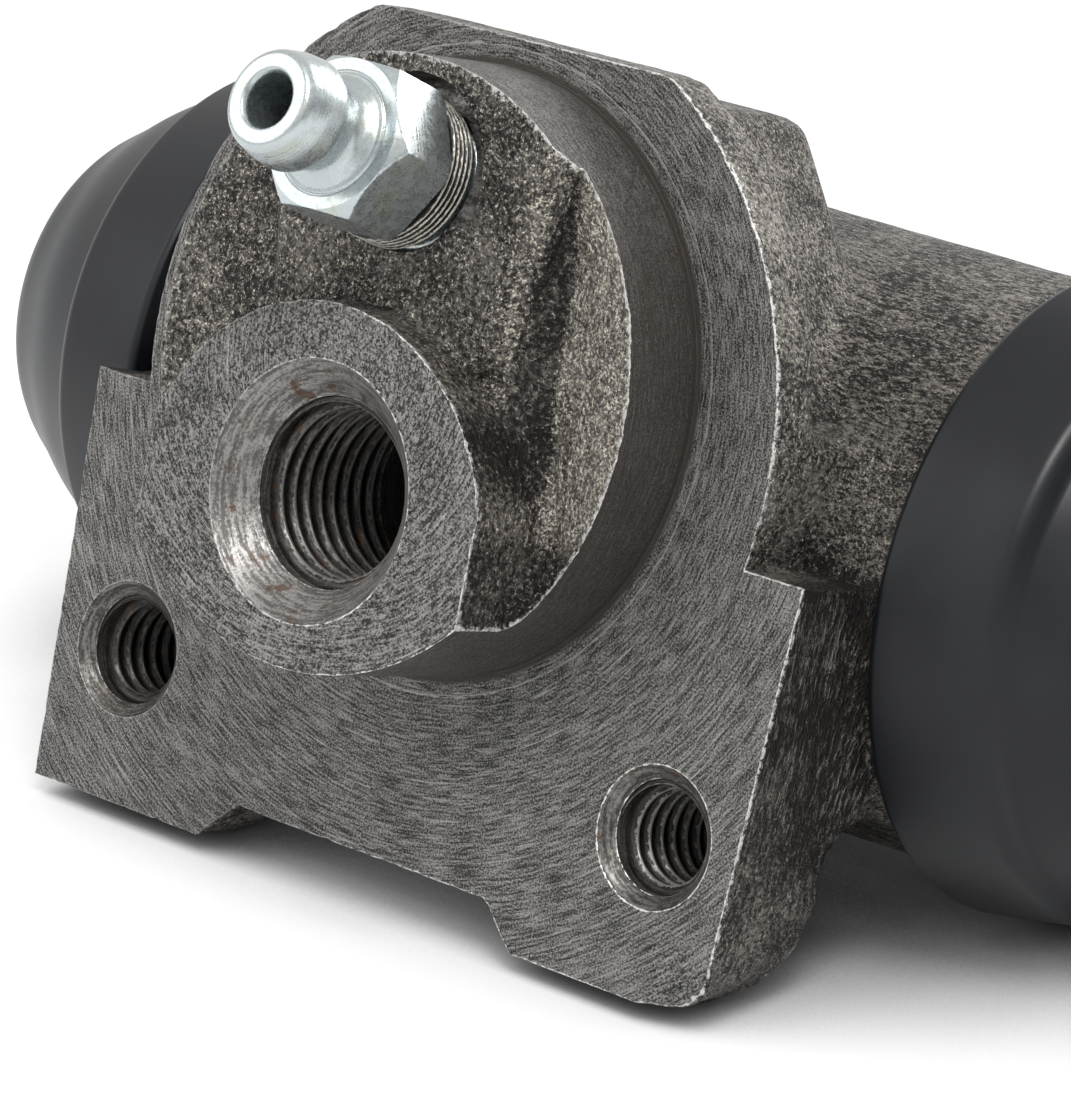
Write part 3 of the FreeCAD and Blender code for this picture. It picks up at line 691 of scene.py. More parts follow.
def ring_faces(rings: int, around: int, closed: bool = False) -> list[tuple[int, int, int, int]]:
    """Quads between rings of points that run round an axis.

    Args:
        rings: how many rings there are.
        around: points in each ring.
        closed: whether the last ring joins the first.

    Returns:
        The quads.
    """
    quads = []
    for i in range(rings if closed else rings - 1):
        a, b = i * around, (i + 1) % rings * around
        quads += [(a + j, b + j, b + (j + 1) % around, a + (j + 1) % around) for j in range(around)]
    return quads


def rounded_profile(points: list[tuple[float, float, float]], steps: int = 5) -> np.ndarray:
    """A profile whose corners are rounded.

    Args:
        points: corners as (along, radius, round).
        steps: points on each rounded corner.

    Returns:
        Rows of (along, radius).
    """
    out = []
    flat = [np.array(p[:2]) for p in points]
    for i, (along, radius, turn) in enumerate(points):
        if turn <= 0 or i in (0, len(points) - 1):
            out.append((along, radius))
            continue
        here, before, after = flat[i], flat[i - 1], flat[i + 1]
        reach = min(turn, 0.45 * np.linalg.norm(before - here), 0.45 * np.linalg.norm(after - here))
        start = here + (before - here) / np.linalg.norm(before - here) * reach
        end = here + (after - here) / np.linalg.norm(after - here) * reach
        for k in range(steps + 1):
            t = k / steps
            out.append(tuple((1 - t) ** 2 * start + 2 * t * (1 - t) * here + t * t * end))
    return np.array(out)


def spaced(profile: np.ndarray, longest: float) -> np.ndarray:
    """A profile with points added so that no stretch is longer than a given length."""
    out = [profile[0]]
    for a, b in zip(profile[:-1], profile[1:]):
        count = max(1, math.ceil(np.linalg.norm(b - a) / longest))
        out += [a + (b - a) * (k + 1) / count for k in range(count)]
    return np.array(out)


def lathe(name: str, rod: Rod, profile: np.ndarray, around: int, finish: bpy.types.Material) -> bpy.types.Object:
    """A turned piece from a closed profile.

    Args:
        name: the object's name.
        rod: the axis it is turned about.
        profile: rows of (along, radius), a closed loop.
        around: points round the axis.
        finish: its material.

    Returns:
        The object.
    """
    turn = np.linspace(0, 2 * math.pi, around, endpoint=False)
    far, angle = np.meshgrid(profile[:, 0], turn, indexing="ij")
    radius = np.repeat(profile[:, 1][:, None], around, axis=1)
    points = rod.place(far, radius, angle).reshape(-1, 3)
    return mesh_piece(name, points, ring_faces(len(profile), around, closed=True), finish)


@dataclass
class Thread:
    """One helical ridge of a screw thread."""

    rod: Rod
    start: float
    end: float
    pitch: float
    root_radius: float
    crest_radius: float
    around: int = 60
    flat: float = 0.14

    def build(self, name: str, finish: bpy.types.Material) -> bpy.types.Object:
        """Sweep the ridge's section along the helix, tapering at both ends.

        Args:
            name: the object's name.
            finish: its material.

        Returns:
            The object.
        """
        turns = (self.end - self.start) / self.pitch
        count = int(turns * self.around)
        t = np.linspace(0.0, turns, count + 1)
        lift = np.clip(np.minimum(t, turns - t) / 0.35, 0.02, 1.0)
        half = 0.46 * self.pitch
        tip = self.flat * self.pitch / 2
        section = ((-half, 0.0), (-tip, 1.0), (tip, 1.0), (half, 0.0))
        rows = []
        for side, height in section:
            radius = self.root_radius + (self.crest_radius - self.root_radius) * height * lift
            far = self.start + t * self.pitch + side * np.maximum(lift, 0.3)
            rows.append(self.rod.place(far, radius, 2 * math.pi * t))
        points = np.stack(rows, axis=1).reshape(-1, 3)
        faces = []
        for i in range(count):
            a, b = 4 * i, 4 * i + 4
            faces += [(a + j, a + (j + 1) % 4, b + (j + 1) % 4, b + j) for j in range(4)]
        faces += [(3, 2, 1, 0), tuple(4 * count + j for j in range(4))]
        piece = mesh_piece(name, points, faces, finish)
        outward_normals(piece.data)
        # Rim numbers of 0 on the crest and 0.3 at the roots, so that the skin's bright edge line brightens the crest:
        # partly worn metal, partly a painted highlight.
        crest = np.tile((0.3, 0.0, 0.0, 0.3), count + 1).astype(np.float32)
        piece.data.attributes.new("rim", "FLOAT", "POINT").data.foreach_set("value", crest)
        return piece


def outward_normals(mesh: bpy.types.Mesh) -> None:
    """Turn a closed mesh's faces so that they all look outwards."""
    work = bmesh.new()
    work.from_mesh(mesh)
    bmesh.ops.recalc_face_normals(work, faces=work.faces)
    work.to_mesh(mesh)
    work.free()


@dataclass
class Housing:
    """The iron casting, redrawn finer than its solid so that grain, soft blends and chipped edges show."""

    fine: float = 0.38
    raw_edge: float = 0.58
    cast_edge: float = 1.15
    back_edge: float = 1.7
    back_fine: float = 0.6
    back_start: float = 10.0
    flat_edge: float = 3.0
    hidden_edge: float = 60.0
    hidden_length: float = 2.5
    fine_reach: float = 0.35
    growth: float = 0.9
    close: float = 0.02
    tight: float = 0.001
    groove_length: float = 3.3
    seat_length: float = 4.2
    seat_depth: float = 1.2
    rib_front: float = -7.5
    quiet_radius: float = 5.3
    quiet_depth: float = 3.0
    edge_bend: float = math.radians(24)
    crisp_bend: float = math.radians(28)
    mark_step: float = 0.06
    fill_passes: int = 64
    smooth_passes: int = 4
    disc_back: float = 5.2
    corner_passes: int = 60
    foot_passes: int = 24
    rib_low: tuple[float, float] = (8.7, 0.6)
    rib_reach: float = 2.6
    heel: tuple[float, float] = (24.0, -28.3)
    heel_reach: float = 4.0
    heel_fade: float = 2.5
    worn_corner: tuple[float, float, float] = (24.0, 0.3, -28.1)
    worn_reach: float = 3.9
    worn_fade: float = 2.4
    worn_passes: int = 80
    relief: float = 0.05
    chip: float = 0.17
    chip_back: float = 10.0
    valley: float = 1.25
    flank_top: tuple[tuple[float, float], ...] = (
        (-7.0, 8.6), (0.94, 8.5), (3.1, 8.67), (5.4, 8.8), (8.5, 9.24), (11.8, 9.6))
    flank_foot: tuple[tuple[float, float], ...] = (
        (-7.0, 11.4), (-5.6, 11.2), (-1.9, 10.62), (0.85, 10.22), (4.56, 9.95), (7.24, 9.95), (11.6, 10.1))
    crease: tuple[tuple[float, float], ...] = ((8.0, -7.2), (10.4, -7.0), (12.3, -6.68), (14.7, -6.28))
    raw_back: float = -1.0
    raw_left: float = 6.0
    points: np.ndarray = field(default_factory=lambda: np.zeros((0, 3)))
    faces: np.ndarray = field(default_factory=lambda: np.zeros((0, 3), int))
    zones: np.ndarray = field(default_factory=lambda: np.zeros(0, int))

    def read(self, solid: bpy.types.Object) -> None:
        """Take the solid's triangles, with points at one place joined.

        Args:
            solid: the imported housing.
        """
        mesh = solid.data
        mesh.calc_loop_triangles()
        raw = np.zeros(len(mesh.vertices) * 3)
        mesh.vertices.foreach_get("co", raw)
        tri = np.zeros(len(mesh.loop_triangles) * 3, np.int32)
        mesh.loop_triangles.foreach_get("vertices", tri)
        raw = raw.reshape(-1, 3) / MM
        _, first, same = np.unique(np.round(raw, 4), axis=0, return_index=True, return_inverse=True)
        self.points = raw[first]
        faces = same.reshape(-1)[tri].reshape(-1, 3)
        whole = (faces[:, 0] != faces[:, 1]) & (faces[:, 1] != faces[:, 2]) & (faces[:, 2] != faces[:, 0])
        self.faces = faces[whole]

    def normals(self) -> np.ndarray:
        """Unit normal of each face."""
        a, b, c = (self.points[self.faces[:, k]] for k in range(3))
        cross = np.cross(b - a, c - a)
        return cross / np.maximum(np.linalg.norm(cross, axis=1), 1e-12)[:, None]

    def sort_zones(self) -> None:
        """Say which faces were turned or drilled. The rest stay as cast."""
        middle = self.points[self.faces].mean(axis=1)
        normal = self.normals()
        x, y, z = middle.T
        off = np.hypot(x, z)
        zones = np.full(len(self.faces), int(Zone.CAST))
        facing = normal[:, 1] < -0.99
        flat = facing & ((np.abs(y) < self.close) | (np.abs(y + SIZES.boss_proud) < self.close))
        side = (np.abs(off - SIZES.spigot_radius) < 0.12) & (np.abs(normal[:, 1]) < 0.05) & (y < 0.01)
        along, around = SIZES.bore.measure(middle)
        mouth = (around < SIZES.bore_radius + 0.7) | (np.abs(along) > SIZES.barrel_half - self.close)
        groove = (np.abs(along) > SIZES.barrel_half - self.groove_length) & (around < SIZES.barrel_radius - 0.05)
        zones[flat | side | mouth | groove] = int(Zone.TURNED)
        holes = SIZES.port.measure(middle)[1] < SIZES.port_mouth_radius - self.tight
        holes &= y > -SIZES.boss_proud + self.tight
        wall = np.abs(normal[:, 2]) + np.abs(normal[:, 0]) > 0.01
        for end in End:
            far, wide = SIZES.bolt(end).measure(middle)
            inside = (wide < SIZES.bolt_mouth_radius - self.tight) & (far > self.tight) & (far < SIZES.bolt_depth)
            holes |= wall & inside
        far, wide = SIZES.bleed.measure(middle)
        plateau = facing & (np.abs(y + SIZES.rib_proud) < self.close)
        holes |= (wide < SIZES.bleed_mouth_radius) & (far > -2.0) & (y > self.rib_front) & ~mouth & ~plateau
        holes &= ~mouth
        zones[holes] = int(Zone.DRILLED)
        self.zones = zones

    def wanted_edge(self, tree: kdtree.KDTree) -> np.ndarray:
        """The longest edge that each point's neighbourhood should have.

        Args:
            tree: the sharp edges' marks.

        Returns:
            A length for each point: short along sharp edges and on the cast skin, long on cut faces.
        """
        along, around = SIZES.bore.measure(self.points)
        y = self.points[:, 1]
        cast, _ = self.marks()
        skin = np.where(y < self.back_start, self.cast_edge, self.back_edge)
        skin = np.where(y < self.raw_back, self.raw_edge, skin)
        most = np.where(cast, skin, self.flat_edge)
        away = np.array([tree.find(point)[2] for point in self.points.tolist()])
        wanted = np.minimum(np.maximum(self.fine + self.growth * (away - self.fine_reach), self.fine), most)
        wanted = np.where(y > self.back_start, np.maximum(wanted, self.back_fine), wanted)
        hidden = (around < SIZES.bore_radius + 0.05) | (np.abs(along) > SIZES.barrel_half - self.hidden_length)
        return np.where(hidden, self.hidden_edge, wanted)

    def refine(self) -> None:
        """Split the longest edges until they all are as short as wanted."""
        tree = self.edge_tree()
        for _ in range(14):
            edges = np.sort(self.faces[:, [0, 1, 1, 2, 2, 0]].reshape(-1, 2), axis=1)
            unique, same = np.unique(edges, axis=0, return_inverse=True)
            same = same.reshape(-1, 3)
            length = np.linalg.norm(self.points[unique[:, 0]] - self.points[unique[:, 1]], axis=1)
            limit = self.wanted_edge(tree)
            limit = (limit[unique[:, 0]] + limit[unique[:, 1]]) / 2
            long = length > limit
            longest = length[same].argmax(axis=1)
            rows = np.arange(len(self.faces))
            pick = long[same].any(axis=1)
            marked = np.zeros(len(unique), bool)
            marked[same[rows, longest][pick]] = True
            if not marked.any():
                break
            self.split(unique, same, marked)

    def split(self, unique: np.ndarray, same: np.ndarray, marked: np.ndarray) -> None:
        """Split marked edges at their middles and each face that they cross.

        Args:
            unique: point pairs of each edge.
            same: the edges of each face.
            marked: which edges are split.
        """
        number = np.full(len(unique), -1)
        number[marked] = len(self.points) + np.arange(marked.sum())
        pair = unique[marked]
        self.points = np.vstack([self.points, (self.points[pair[:, 0]] + self.points[pair[:, 1]]) / 2])
        middle = number[same]
        count = (middle >= 0).sum(axis=1)
        out, zones = [self.faces[count == 0]], [self.zones[count == 0]]
        for k in range(3):
            a, b, c = (k, (k + 1) % 3, (k + 2) % 3)
            f, m, zone = self.faces, middle, self.zones
            one = (count == 1) & (m[:, a] >= 0)
            out += [np.stack([f[one, a], m[one, a], f[one, c]], 1), np.stack([m[one, a], f[one, b], f[one, c]], 1)]
            zones += [zone[one]] * 2
            two = (count == 2) & (m[:, c] < 0)
            out += [np.stack([m[two, a], f[two, b], m[two, b]], 1), np.stack([f[two, a], m[two, a], m[two, b]], 1),
                    np.stack([f[two, a], m[two, b], f[two, c]], 1)]
            zones += [zone[two]] * 3
        full = count == 3
        f, m = self.faces[full], middle[full]
        out += [np.stack([f[:, 0], m[:, 0], m[:, 2]], 1), np.stack([m[:, 0], f[:, 1], m[:, 1]], 1),
                np.stack([m[:, 2], m[:, 1], f[:, 2]], 1), np.stack([m[:, 0], m[:, 1], m[:, 2]], 1)]
        zones += [self.zones[full]] * 4
        self.faces, self.zones = np.vstack(out), np.concatenate(zones)

    def marks(self) -> tuple[np.ndarray, np.ndarray]:
        """Which points touch a cast face, and which touch a machined one."""
        cast, cut = np.zeros(len(self.points), bool), np.zeros(len(self.points), bool)
        cast[self.faces[self.zones == Zone.CAST].ravel()] = True
        cut[self.faces[self.zones != Zone.CAST].ravel()] = True
        return cast, cut

    def spread(self, values: np.ndarray, edges: np.ndarray) -> np.ndarray:
        """The mean of each point's neighbours.

        Args:
            values: one row for each point.
            edges: point pairs.

        Returns:
            The means.
        """
        count = np.bincount(edges.ravel(), minlength=len(self.points))
        total = np.zeros_like(values)
        for k in range(values.shape[1]):
            total[:, k] = np.bincount(edges[:, 0], values[edges[:, 1], k], len(self.points))
            total[:, k] += np.bincount(edges[:, 1], values[edges[:, 0], k], len(self.points))
        return total / np.maximum(count, 1)[:, None]

    def cast_normals(self) -> np.ndarray:
        """Unit normal of the cast skin at each point."""
        normal = np.zeros_like(self.points)
        face_normal = self.normals()
        rough = self.zones == Zone.CAST
        for k in range(3):
            for axis in range(3):
                normal[:, axis] += np.bincount(self.faces[rough, k], face_normal[rough, axis], len(self.points))
        return normal / np.maximum(np.linalg.norm(normal, axis=1), 1e-9)[:, None]

    def fill_corners(self, free: np.ndarray, edges: np.ndarray) -> None:
        """Fill the hollow corners of the cast skin and leave its ridges where they are.

        Args:
            free: points that may move.
            edges: point pairs.
        """
        normal = self.cast_normals()
        for step in range(self.fill_passes):
            if step % 8 == 7:
                normal = self.cast_normals()
            gap = self.spread(self.points, edges) - self.points
            lift = np.maximum((gap * normal).sum(axis=1), 0.0)
            self.points[free] += (0.8 * lift[:, None] * normal)[free]

    def soften(self, free: np.ndarray, edges: np.ndarray, passes: int) -> None:
        """Round ridges and hollows alike.

        Args:
            free: how freely each point moves, 0 to 1.
            edges: point pairs.
            passes: how many times.
        """
        for _ in range(passes):
            mean = self.spread(self.points, edges)
            self.points += 0.5 * free[:, None] * (mean - self.points)

    def flank(self) -> tuple[np.ndarray, np.ndarray, np.ndarray]:
        """Where the rib's right flank is at each point's height.

        Returns:
            X of its foot, X of its top, and Z of the crease below the hollow.
        """
        x, z = self.points[:, 0], self.points[:, 2]
        foot = np.interp(z, *np.array(self.flank_foot).T)
        top = np.interp(z, *np.array(self.flank_top).T)
        return foot, top, np.interp(x, *np.array(self.crease).T)

    def sink_valley(self, free: np.ndarray) -> None:
        """Sink the raw face beside the rib's right flank, fading out towards the rim.

        Args:
            free: points that may move.
        """
        x, y, z = self.points.T
        raw = free & (y < self.raw_back) & (x > self.raw_left)
        foot, top, crease = self.flank()
        rim = np.sqrt(np.maximum(SIZES.spigot_radius ** 2 - z ** 2, 1.0))
        right = unit((rim - x) / np.maximum(rim - foot, 0.3))
        left = unit((x - top) / np.maximum(foot - top, 0.3))
        depth = self.valley * np.where(x > foot, right, left ** 1.4) * unit((11.5 - z) / 5.0)
        slope = unit((crease - z) / 0.5) * unit((z + 13.0) / 6.0)
        depth = np.maximum(depth * np.clip((z - crease) / 1.2 + 1.0, 0.35, 1.0), 0.5 * slope * right)
        self.points[raw, 1] += depth[raw]

    def glow(self) -> np.ndarray:
        """How much painted light or painted shade the cast skin gets at each point, 0.5 where it gets neither.

        Returns:
            Near 1 beside the rim at the right, where painted light brightens the face; near 0 in the flank's hollow and
            on the web beside the barrel, where painted shade darkens it.
        """
        x, y, z = self.points.T
        foot, top, crease = self.flank()
        # Painted light on the face right of the flank, painted shade in the flank's hollow and below the crease, and a
        # painted highlight along the rib's ridge.
        painted_lighting = unit((x - foot) / 0.5) * unit((z - crease) / 0.5)
        hollow = 0.8 * unit((x - top + 0.1) / 0.3) * unit((foot - x) / 0.5 + 0.6) * unit((12.0 - z) / 3.0)
        painted_shade = np.maximum(hollow, 0.45 * unit((crease - z) / 0.6) * (x > self.raw_left))
        ridge = unit(1.0 - np.abs(top - 0.5 - x) / 0.9) * unit((z - 1.0) / 2.0)
        face = 0.5 + 0.5 * painted_lighting + 0.35 * ridge - 0.5 * painted_shade
        # A little painted light high on the disc's side; painted shade behind the flange, deepest on the web beside the
        # barrel and lighter at the web's outer ends.
        disc = 0.5 + 0.05 * unit((4.0 - y) / 0.5) * unit((z + 2.0) / 4.0)
        web = 0.4 * unit((np.abs(x) - 18.0) / 5.0) * unit((z + 6.0) / 2.0) - 0.25
        back = 0.38 + np.where((z < 1.0) & (z > -8.0), web, 0.0)
        return np.where(y < self.raw_back, face, np.where(y < 4.2, disc, back))

    def border(self) -> np.ndarray:
        """Points spaced closely along every sharp edge between skins or cut faces."""
        sides = np.sort(self.faces[:, [0, 1, 1, 2, 2, 0]].reshape(-1, 2), axis=1)
        owner = np.repeat(np.arange(len(self.faces)), 3)
        order = np.lexsort((sides[:, 1], sides[:, 0]))
        sides, owner = sides[order], owner[order]
        same = (sides[1:] == sides[:-1]).all(axis=1)
        one, two, pair = owner[:-1][same], owner[1:][same], sides[:-1][same]
        normal = self.normals()
        bend = (normal[one] * normal[two]).sum(axis=1)
        zone_one, zone_two = self.zones[one], self.zones[two]
        cut = (zone_one != Zone.CAST) | (zone_two != Zone.CAST)
        middle = self.points[self.faces].mean(axis=1)
        far, wide = SIZES.bleed.measure(middle)
        cut &= ~((wide < self.quiet_radius) & (middle[:, 1] > self.rib_front) & (far < self.quiet_depth))[one]
        ridge = ((middle[two] - middle[one]) * normal[one]).sum(axis=1) < 0.0
        pair = pair[cut & ridge & (bend < math.cos(self.edge_bend))]
        one, two = self.points[pair[:, 0]], self.points[pair[:, 1]]
        count = np.maximum(np.ceil(np.linalg.norm(two - one, axis=1) / self.mark_step).astype(int), 1)
        start = np.repeat(np.arange(len(pair)), count)
        share = (np.arange(count.sum()) - np.repeat(np.cumsum(count) - count, count) + 0.5) / count[start]
        return one[start] * (1 - share[:, None]) + two[start] * share[:, None]

    def edge_tree(self) -> kdtree.KDTree:
        """A search tree of the sharp edges' marks."""
        marks = self.border()
        tree = kdtree.KDTree(len(marks))
        for i, mark in enumerate(marks.tolist()):
            tree.insert(mark, i)
        tree.balance()
        return tree

    def edge_distance(self) -> np.ndarray:
        """Distance of each point to the nearest sharp edge, up to a millimetre."""
        tree = self.edge_tree()
        away = np.array([tree.find(point)[2] for point in self.points.tolist()])
        return np.minimum(away, 1.0)

    def weather(self) -> np.ndarray:
        """Soften the cast skin, roughen it and chip its edges.

        Returns:
            How far each point is from a sharp edge, in millimetres and up to 1.
        """
        edges = np.unique(np.sort(self.faces[:, [0, 1, 1, 2, 2, 0]].reshape(-1, 2), axis=1), axis=0)
        cast, cut = self.marks()
        along, around = SIZES.bore.measure(self.points)
        end = np.abs(along) > SIZES.barrel_half - self.seat_length
        seat = end & (around > SIZES.barrel_radius - self.seat_depth)
        free = cast & ~cut & ~seat
        self.fill_corners(free & (self.points[:, 1] > self.disc_back), edges)
        self.sink_valley(free)
        self.soften(free.astype(float), edges, self.smooth_passes)
        self.soften(free * self.rib_foot(), edges, self.foot_passes)
        self.soften(free * self.heels(), edges, self.corner_passes)
        away = self.edge_distance()
        gap = np.linalg.norm(self.points - self.worn_corner, axis=1)
        self.soften(unit((self.worn_reach - gap) / self.worn_fade), edges, self.worn_passes)
        self.roughen(free, cast & cut)
        return away

    def rib_foot(self) -> np.ndarray:
        """How near each point is to the low end of the rib's flank on the raw face, 0 to 1."""
        x, y, z = self.points.T
        gap = np.hypot(x - self.rib_low[0], z - self.rib_low[1])
        return unit(1.0 - gap / self.rib_reach) * (y < self.raw_back)

    def heels(self) -> np.ndarray:
        """How near each point is to the lower outer edge of a foot, 0 to 1, fading out towards the flange face."""
        x, y, z = self.points.T
        gap = np.hypot(np.abs(x) - self.heel[0], z - self.heel[1])
        return unit((self.heel_reach - gap) / self.heel_fade) * unit((y - 0.2) / 1.4)

    def roughen(self, free: np.ndarray, seam: np.ndarray) -> None:
        """Raise the cast grain and chip the edges between cast and machined faces.

        Args:
            free: points of the cast skin.
            seam: points on its edges.
        """
        normal = self.cast_normals()
        lift = np.zeros(len(self.points))
        for i in np.nonzero(free)[0]:
            p = Vector(self.points[i])
            raw = 1.0 if p.y < self.raw_back else 0.5
            lift[i] = raw * self.relief * (noise.noise(p * 0.6) + 0.9 * noise.noise(p * 1.5))
        for i in np.nonzero(seam & (np.abs(self.points[:, 1]) < self.chip_back))[0]:
            p = Vector(self.points[i])
            lift[i] = -self.chip * max(0.0, noise.noise(p * 0.9) + 0.6 * noise.noise(p * 2.6) - 0.08)
        self.points += normal * lift[:, None]

    def build(self, solid: bpy.types.Object, finishes: list[bpy.types.Material]) -> bpy.types.Object:
        """Make the dressed casting.

        Args:
            solid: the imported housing.
            finishes: cast, turned and drilled skins in the order of Zone.

        Returns:
            The object.
        """
        self.read(solid)
        low, high = self.points.min(axis=0), self.points.max(axis=0)
        self.sort_zones()
        self.refine()
        rim = self.weather()
        self.points = np.clip(self.points, low, high)
        piece = mesh_piece("cast_body", self.points, self.faces.tolist())
        mesh = piece.data
        for finish in finishes:
            mesh.materials.append(finish)
        mesh.polygons.foreach_set("material_index", self.zones.astype(np.int32))
        # The glow numbers carry the cast skin's painted light and shade.
        for name, values in (("rim", rim), ("glow", self.glow())):
            mesh.attributes.new(name, "FLOAT", "POINT").data.foreach_set("value", values.astype(np.float32))
        self.sharpen(mesh)
        return piece

    def sharpen(self, mesh: bpy.types.Mesh) -> None:
        """Keep machined corners crisp and cast ones soft.

        Args:
            mesh: the dressed casting's mesh.
        """
        pairs = np.zeros(len(mesh.edges) * 2, np.int32)
        mesh.edges.foreach_get("vertices", pairs)
        pairs = np.sort(pairs.reshape(-1, 2), axis=1)
        size = len(self.points)
        key = pairs[:, 0].astype(np.int64) * size + pairs[:, 1]
        sides = np.sort(self.faces[:, [0, 1, 1, 2, 2, 0]].reshape(-1, 2), axis=1)
        side_key = sides[:, 0].astype(np.int64) * size + sides[:, 1]
        owner = np.repeat(np.arange(len(self.faces)), 3)
        order = np.argsort(side_key, kind="stable")
        start = np.searchsorted(side_key[order], key)
        one = owner[order[start]]
        two = owner[order[np.minimum(start + 1, len(order) - 1)]]
        normal = self.normals()
        bend = (normal[one] * normal[two]).sum(axis=1)
        differ = self.zones[one] != self.zones[two]
        both_cut = (self.zones[one] != Zone.CAST) & (self.zones[two] != Zone.CAST)
        machined = both_cut & (bend < math.cos(self.crisp_bend))
        sharp = mesh.attributes.get("sharp_edge") or mesh.attributes.new("sharp_edge", "BOOLEAN", "EDGE")
        sharp.data.foreach_set("value", differ | machined)


@dataclass
class BleedScrew:
    """Zinc plated screw: barbed nipple, hexagon with turned corners and a threaded shank."""

    show: float = 1.9
    hex_length: float = 4.5
    flats: float = 8.0
    nipple_length: float = 5.4
    nipple_radius: float = 3.02
    neck_radius: float = 2.25
    collar_radius: float = 3.75
    hole_radius: float = 1.43
    shank_radius: float = 3.95
    thread_end: float = 7.9
    seat_radius: float = 1.5
    pitch: float = 1.25
    around: int = 180

    @property
    def hex_front(self) -> float:
        """Where the hexagon starts, along the screw's axis."""
        return -(self.show + self.hex_length)

    @property
    def tip(self) -> float:
        """Where the nipple starts."""
        return self.hex_front - self.nipple_length

    def nose_profile(self) -> np.ndarray:
        """From the drilled hole's floor round the nipple to the hexagon's front."""
        tip, front = self.tip, self.hex_front
        corners = [
            (tip + 9.0, 0.02, 0.0), (tip + 9.0, self.hole_radius, 0.0), (tip + 0.3, self.hole_radius, 0.1),
            (tip, self.hole_radius + 0.18, 0.12), (tip, 2.42, 0.18), (tip + 0.32, 2.68, 0.2), (tip + 1.5, 2.97, 0.3),
            (tip + 2.55, self.nipple_radius, 0.12), (tip + 2.62, 2.93, 0.05), (tip + 2.95, 2.9, 0.2),
            (tip + 3.5, 2.3, 0.4), (tip + 3.9, self.neck_radius, 0.3), (front - 0.75, self.neck_radius, 0.5),
            (front - 0.08, 2.95, 0.25), (front - 0.02, 3.18, 0.08), (front + 0.1, 3.24, 0.05),
            (front + 0.04, 3.36, 0.05), (front + 0.06, self.collar_radius, 0.1),
        ]
        return rounded_profile(corners, 4)

    def hex_radius(self, turn: np.ndarray, cone: np.ndarray) -> np.ndarray:
        """Radius of the hexagon where a cone trims its corners, with softly broken edges.

        Args:
            turn: angles about the axis.
            cone: the cone's radius at each point.

        Returns:
            The radii.
        """
        hard = 90.0
        total = np.exp(-hard * (cone - self.flats / 2))
        for k in range(6):
            gap = (turn - self.turn_offset - math.radians(60 * k + 30) + math.pi) % (2 * math.pi) - math.pi
            face = np.where(np.abs(gap) < 1.35, self.flats / 2 / np.cos(np.clip(gap, -1.35, 1.35)), 40.0)
            total = total + np.exp(-hard * (face - self.flats / 2))
        return self.flats / 2 - np.log(total) / hard

    @property
    def turn_offset(self) -> float:
        """Angle of the hexagon's first corner about the axis."""
        return -SIZES.bleed_turn

    def build(self, finish: bpy.types.Material, bore: bpy.types.Material) -> bpy.types.Object:
        """Make the screw as one closed skin.

        Args:
            finish: its material.
            bore: the material inside its drilled hole.

        Returns:
            The object.
        """
        nose = spaced(self.nose_profile(), 0.35)
        front, back = self.hex_front + 0.08, -self.show
        corner = self.flats / math.sqrt(3)
        steps = np.concatenate([np.linspace(0, 0.95, 16), np.linspace(1.1, self.hex_length - 1.1, 8),
                                np.linspace(self.hex_length - 0.9, self.hex_length - 0.08, 14)])
        seat = (self.thread_end + self.shank_radius - self.seat_radius, self.seat_radius)
        minor = self.shank_radius - 0.61 * self.pitch
        neck = self.shank_radius - 0.15
        tail = [(back, 3.9), (back + 0.02, neck), (0.5, neck), (0.6, minor), (self.thread_end, minor), seat]
        tail = spaced(np.array([*tail, (seat[0], 0.02)]), 0.6)
        turn = np.linspace(0, 2 * math.pi, self.around, endpoint=False) + self.turn_offset
        rows = [(f, np.full(self.around, r)) for f, r in nose]
        for step in steps:
            cone = np.full(self.around, min(self.flats / 2 - 0.02 + step, corner - 0.35 + (self.hex_length - step)))
            rows.append((front + step, self.hex_radius(turn, cone)))
        rows += [(f, np.full(self.around, r)) for f, r in tail]
        far = np.repeat(np.array([f for f, _ in rows])[:, None], self.around, axis=1)
        radius = np.stack([r for _, r in rows])
        points = SIZES.bleed.place(far, radius, np.repeat(turn[None], len(rows), axis=0)).reshape(-1, 3)
        faces = ring_faces(len(rows), self.around)
        faces += [tuple(range(self.around)), tuple((len(rows) - 1) * self.around + j for j in range(self.around))[::-1]]
        piece = mesh_piece("bleed_screw_skin", points, faces, finish)
        outward_normals(piece.data)
        piece.data.materials.append(bore)
        inside = np.arange(len(piece.data.polygons)) < 3 * self.around
        piece.data.polygons.foreach_set("material_index", inside.astype(np.int32))
        self.crease(piece.data)
        return piece

    def crease(self, mesh: bpy.types.Mesh) -> None:
        """Keep the hexagon's edges crisp.

        Args:
            mesh: the screw's mesh.
        """
        work = bmesh.new()
        work.from_mesh(mesh)
        for edge in work.edges:
            edge.smooth = edge.calc_face_angle(0.0) < math.radians(24)
        work.to_mesh(mesh)
        work.free()

    def rings(self, finish: bpy.types.Material) -> bpy.types.Object:
        """The fine thread that shows behind the hexagon.

        Args:
            finish: its material.

        Returns:
            The object.
        """
        ridge = Thread(SIZES.bleed, -self.show + 0.2, 0.3, 0.36, self.shank_radius - 0.17, 4.13, 96)
        return ridge.build("bleed_screw_rings", finish)

    def thread(self, finish: bpy.types.Material) -> bpy.types.Object:
        """The ridge on the shank.

        Args:
            finish: its material.

        Returns:
            The object.
        """
        root = self.shank_radius - 0.61 * self.pitch - 0.02
        ridge = Thread(SIZES.bleed, 0.7, self.thread_end - 0.3, self.pitch, root, self.shank_radius, 72)
        return ridge.build("bleed_screw_thread", finish)


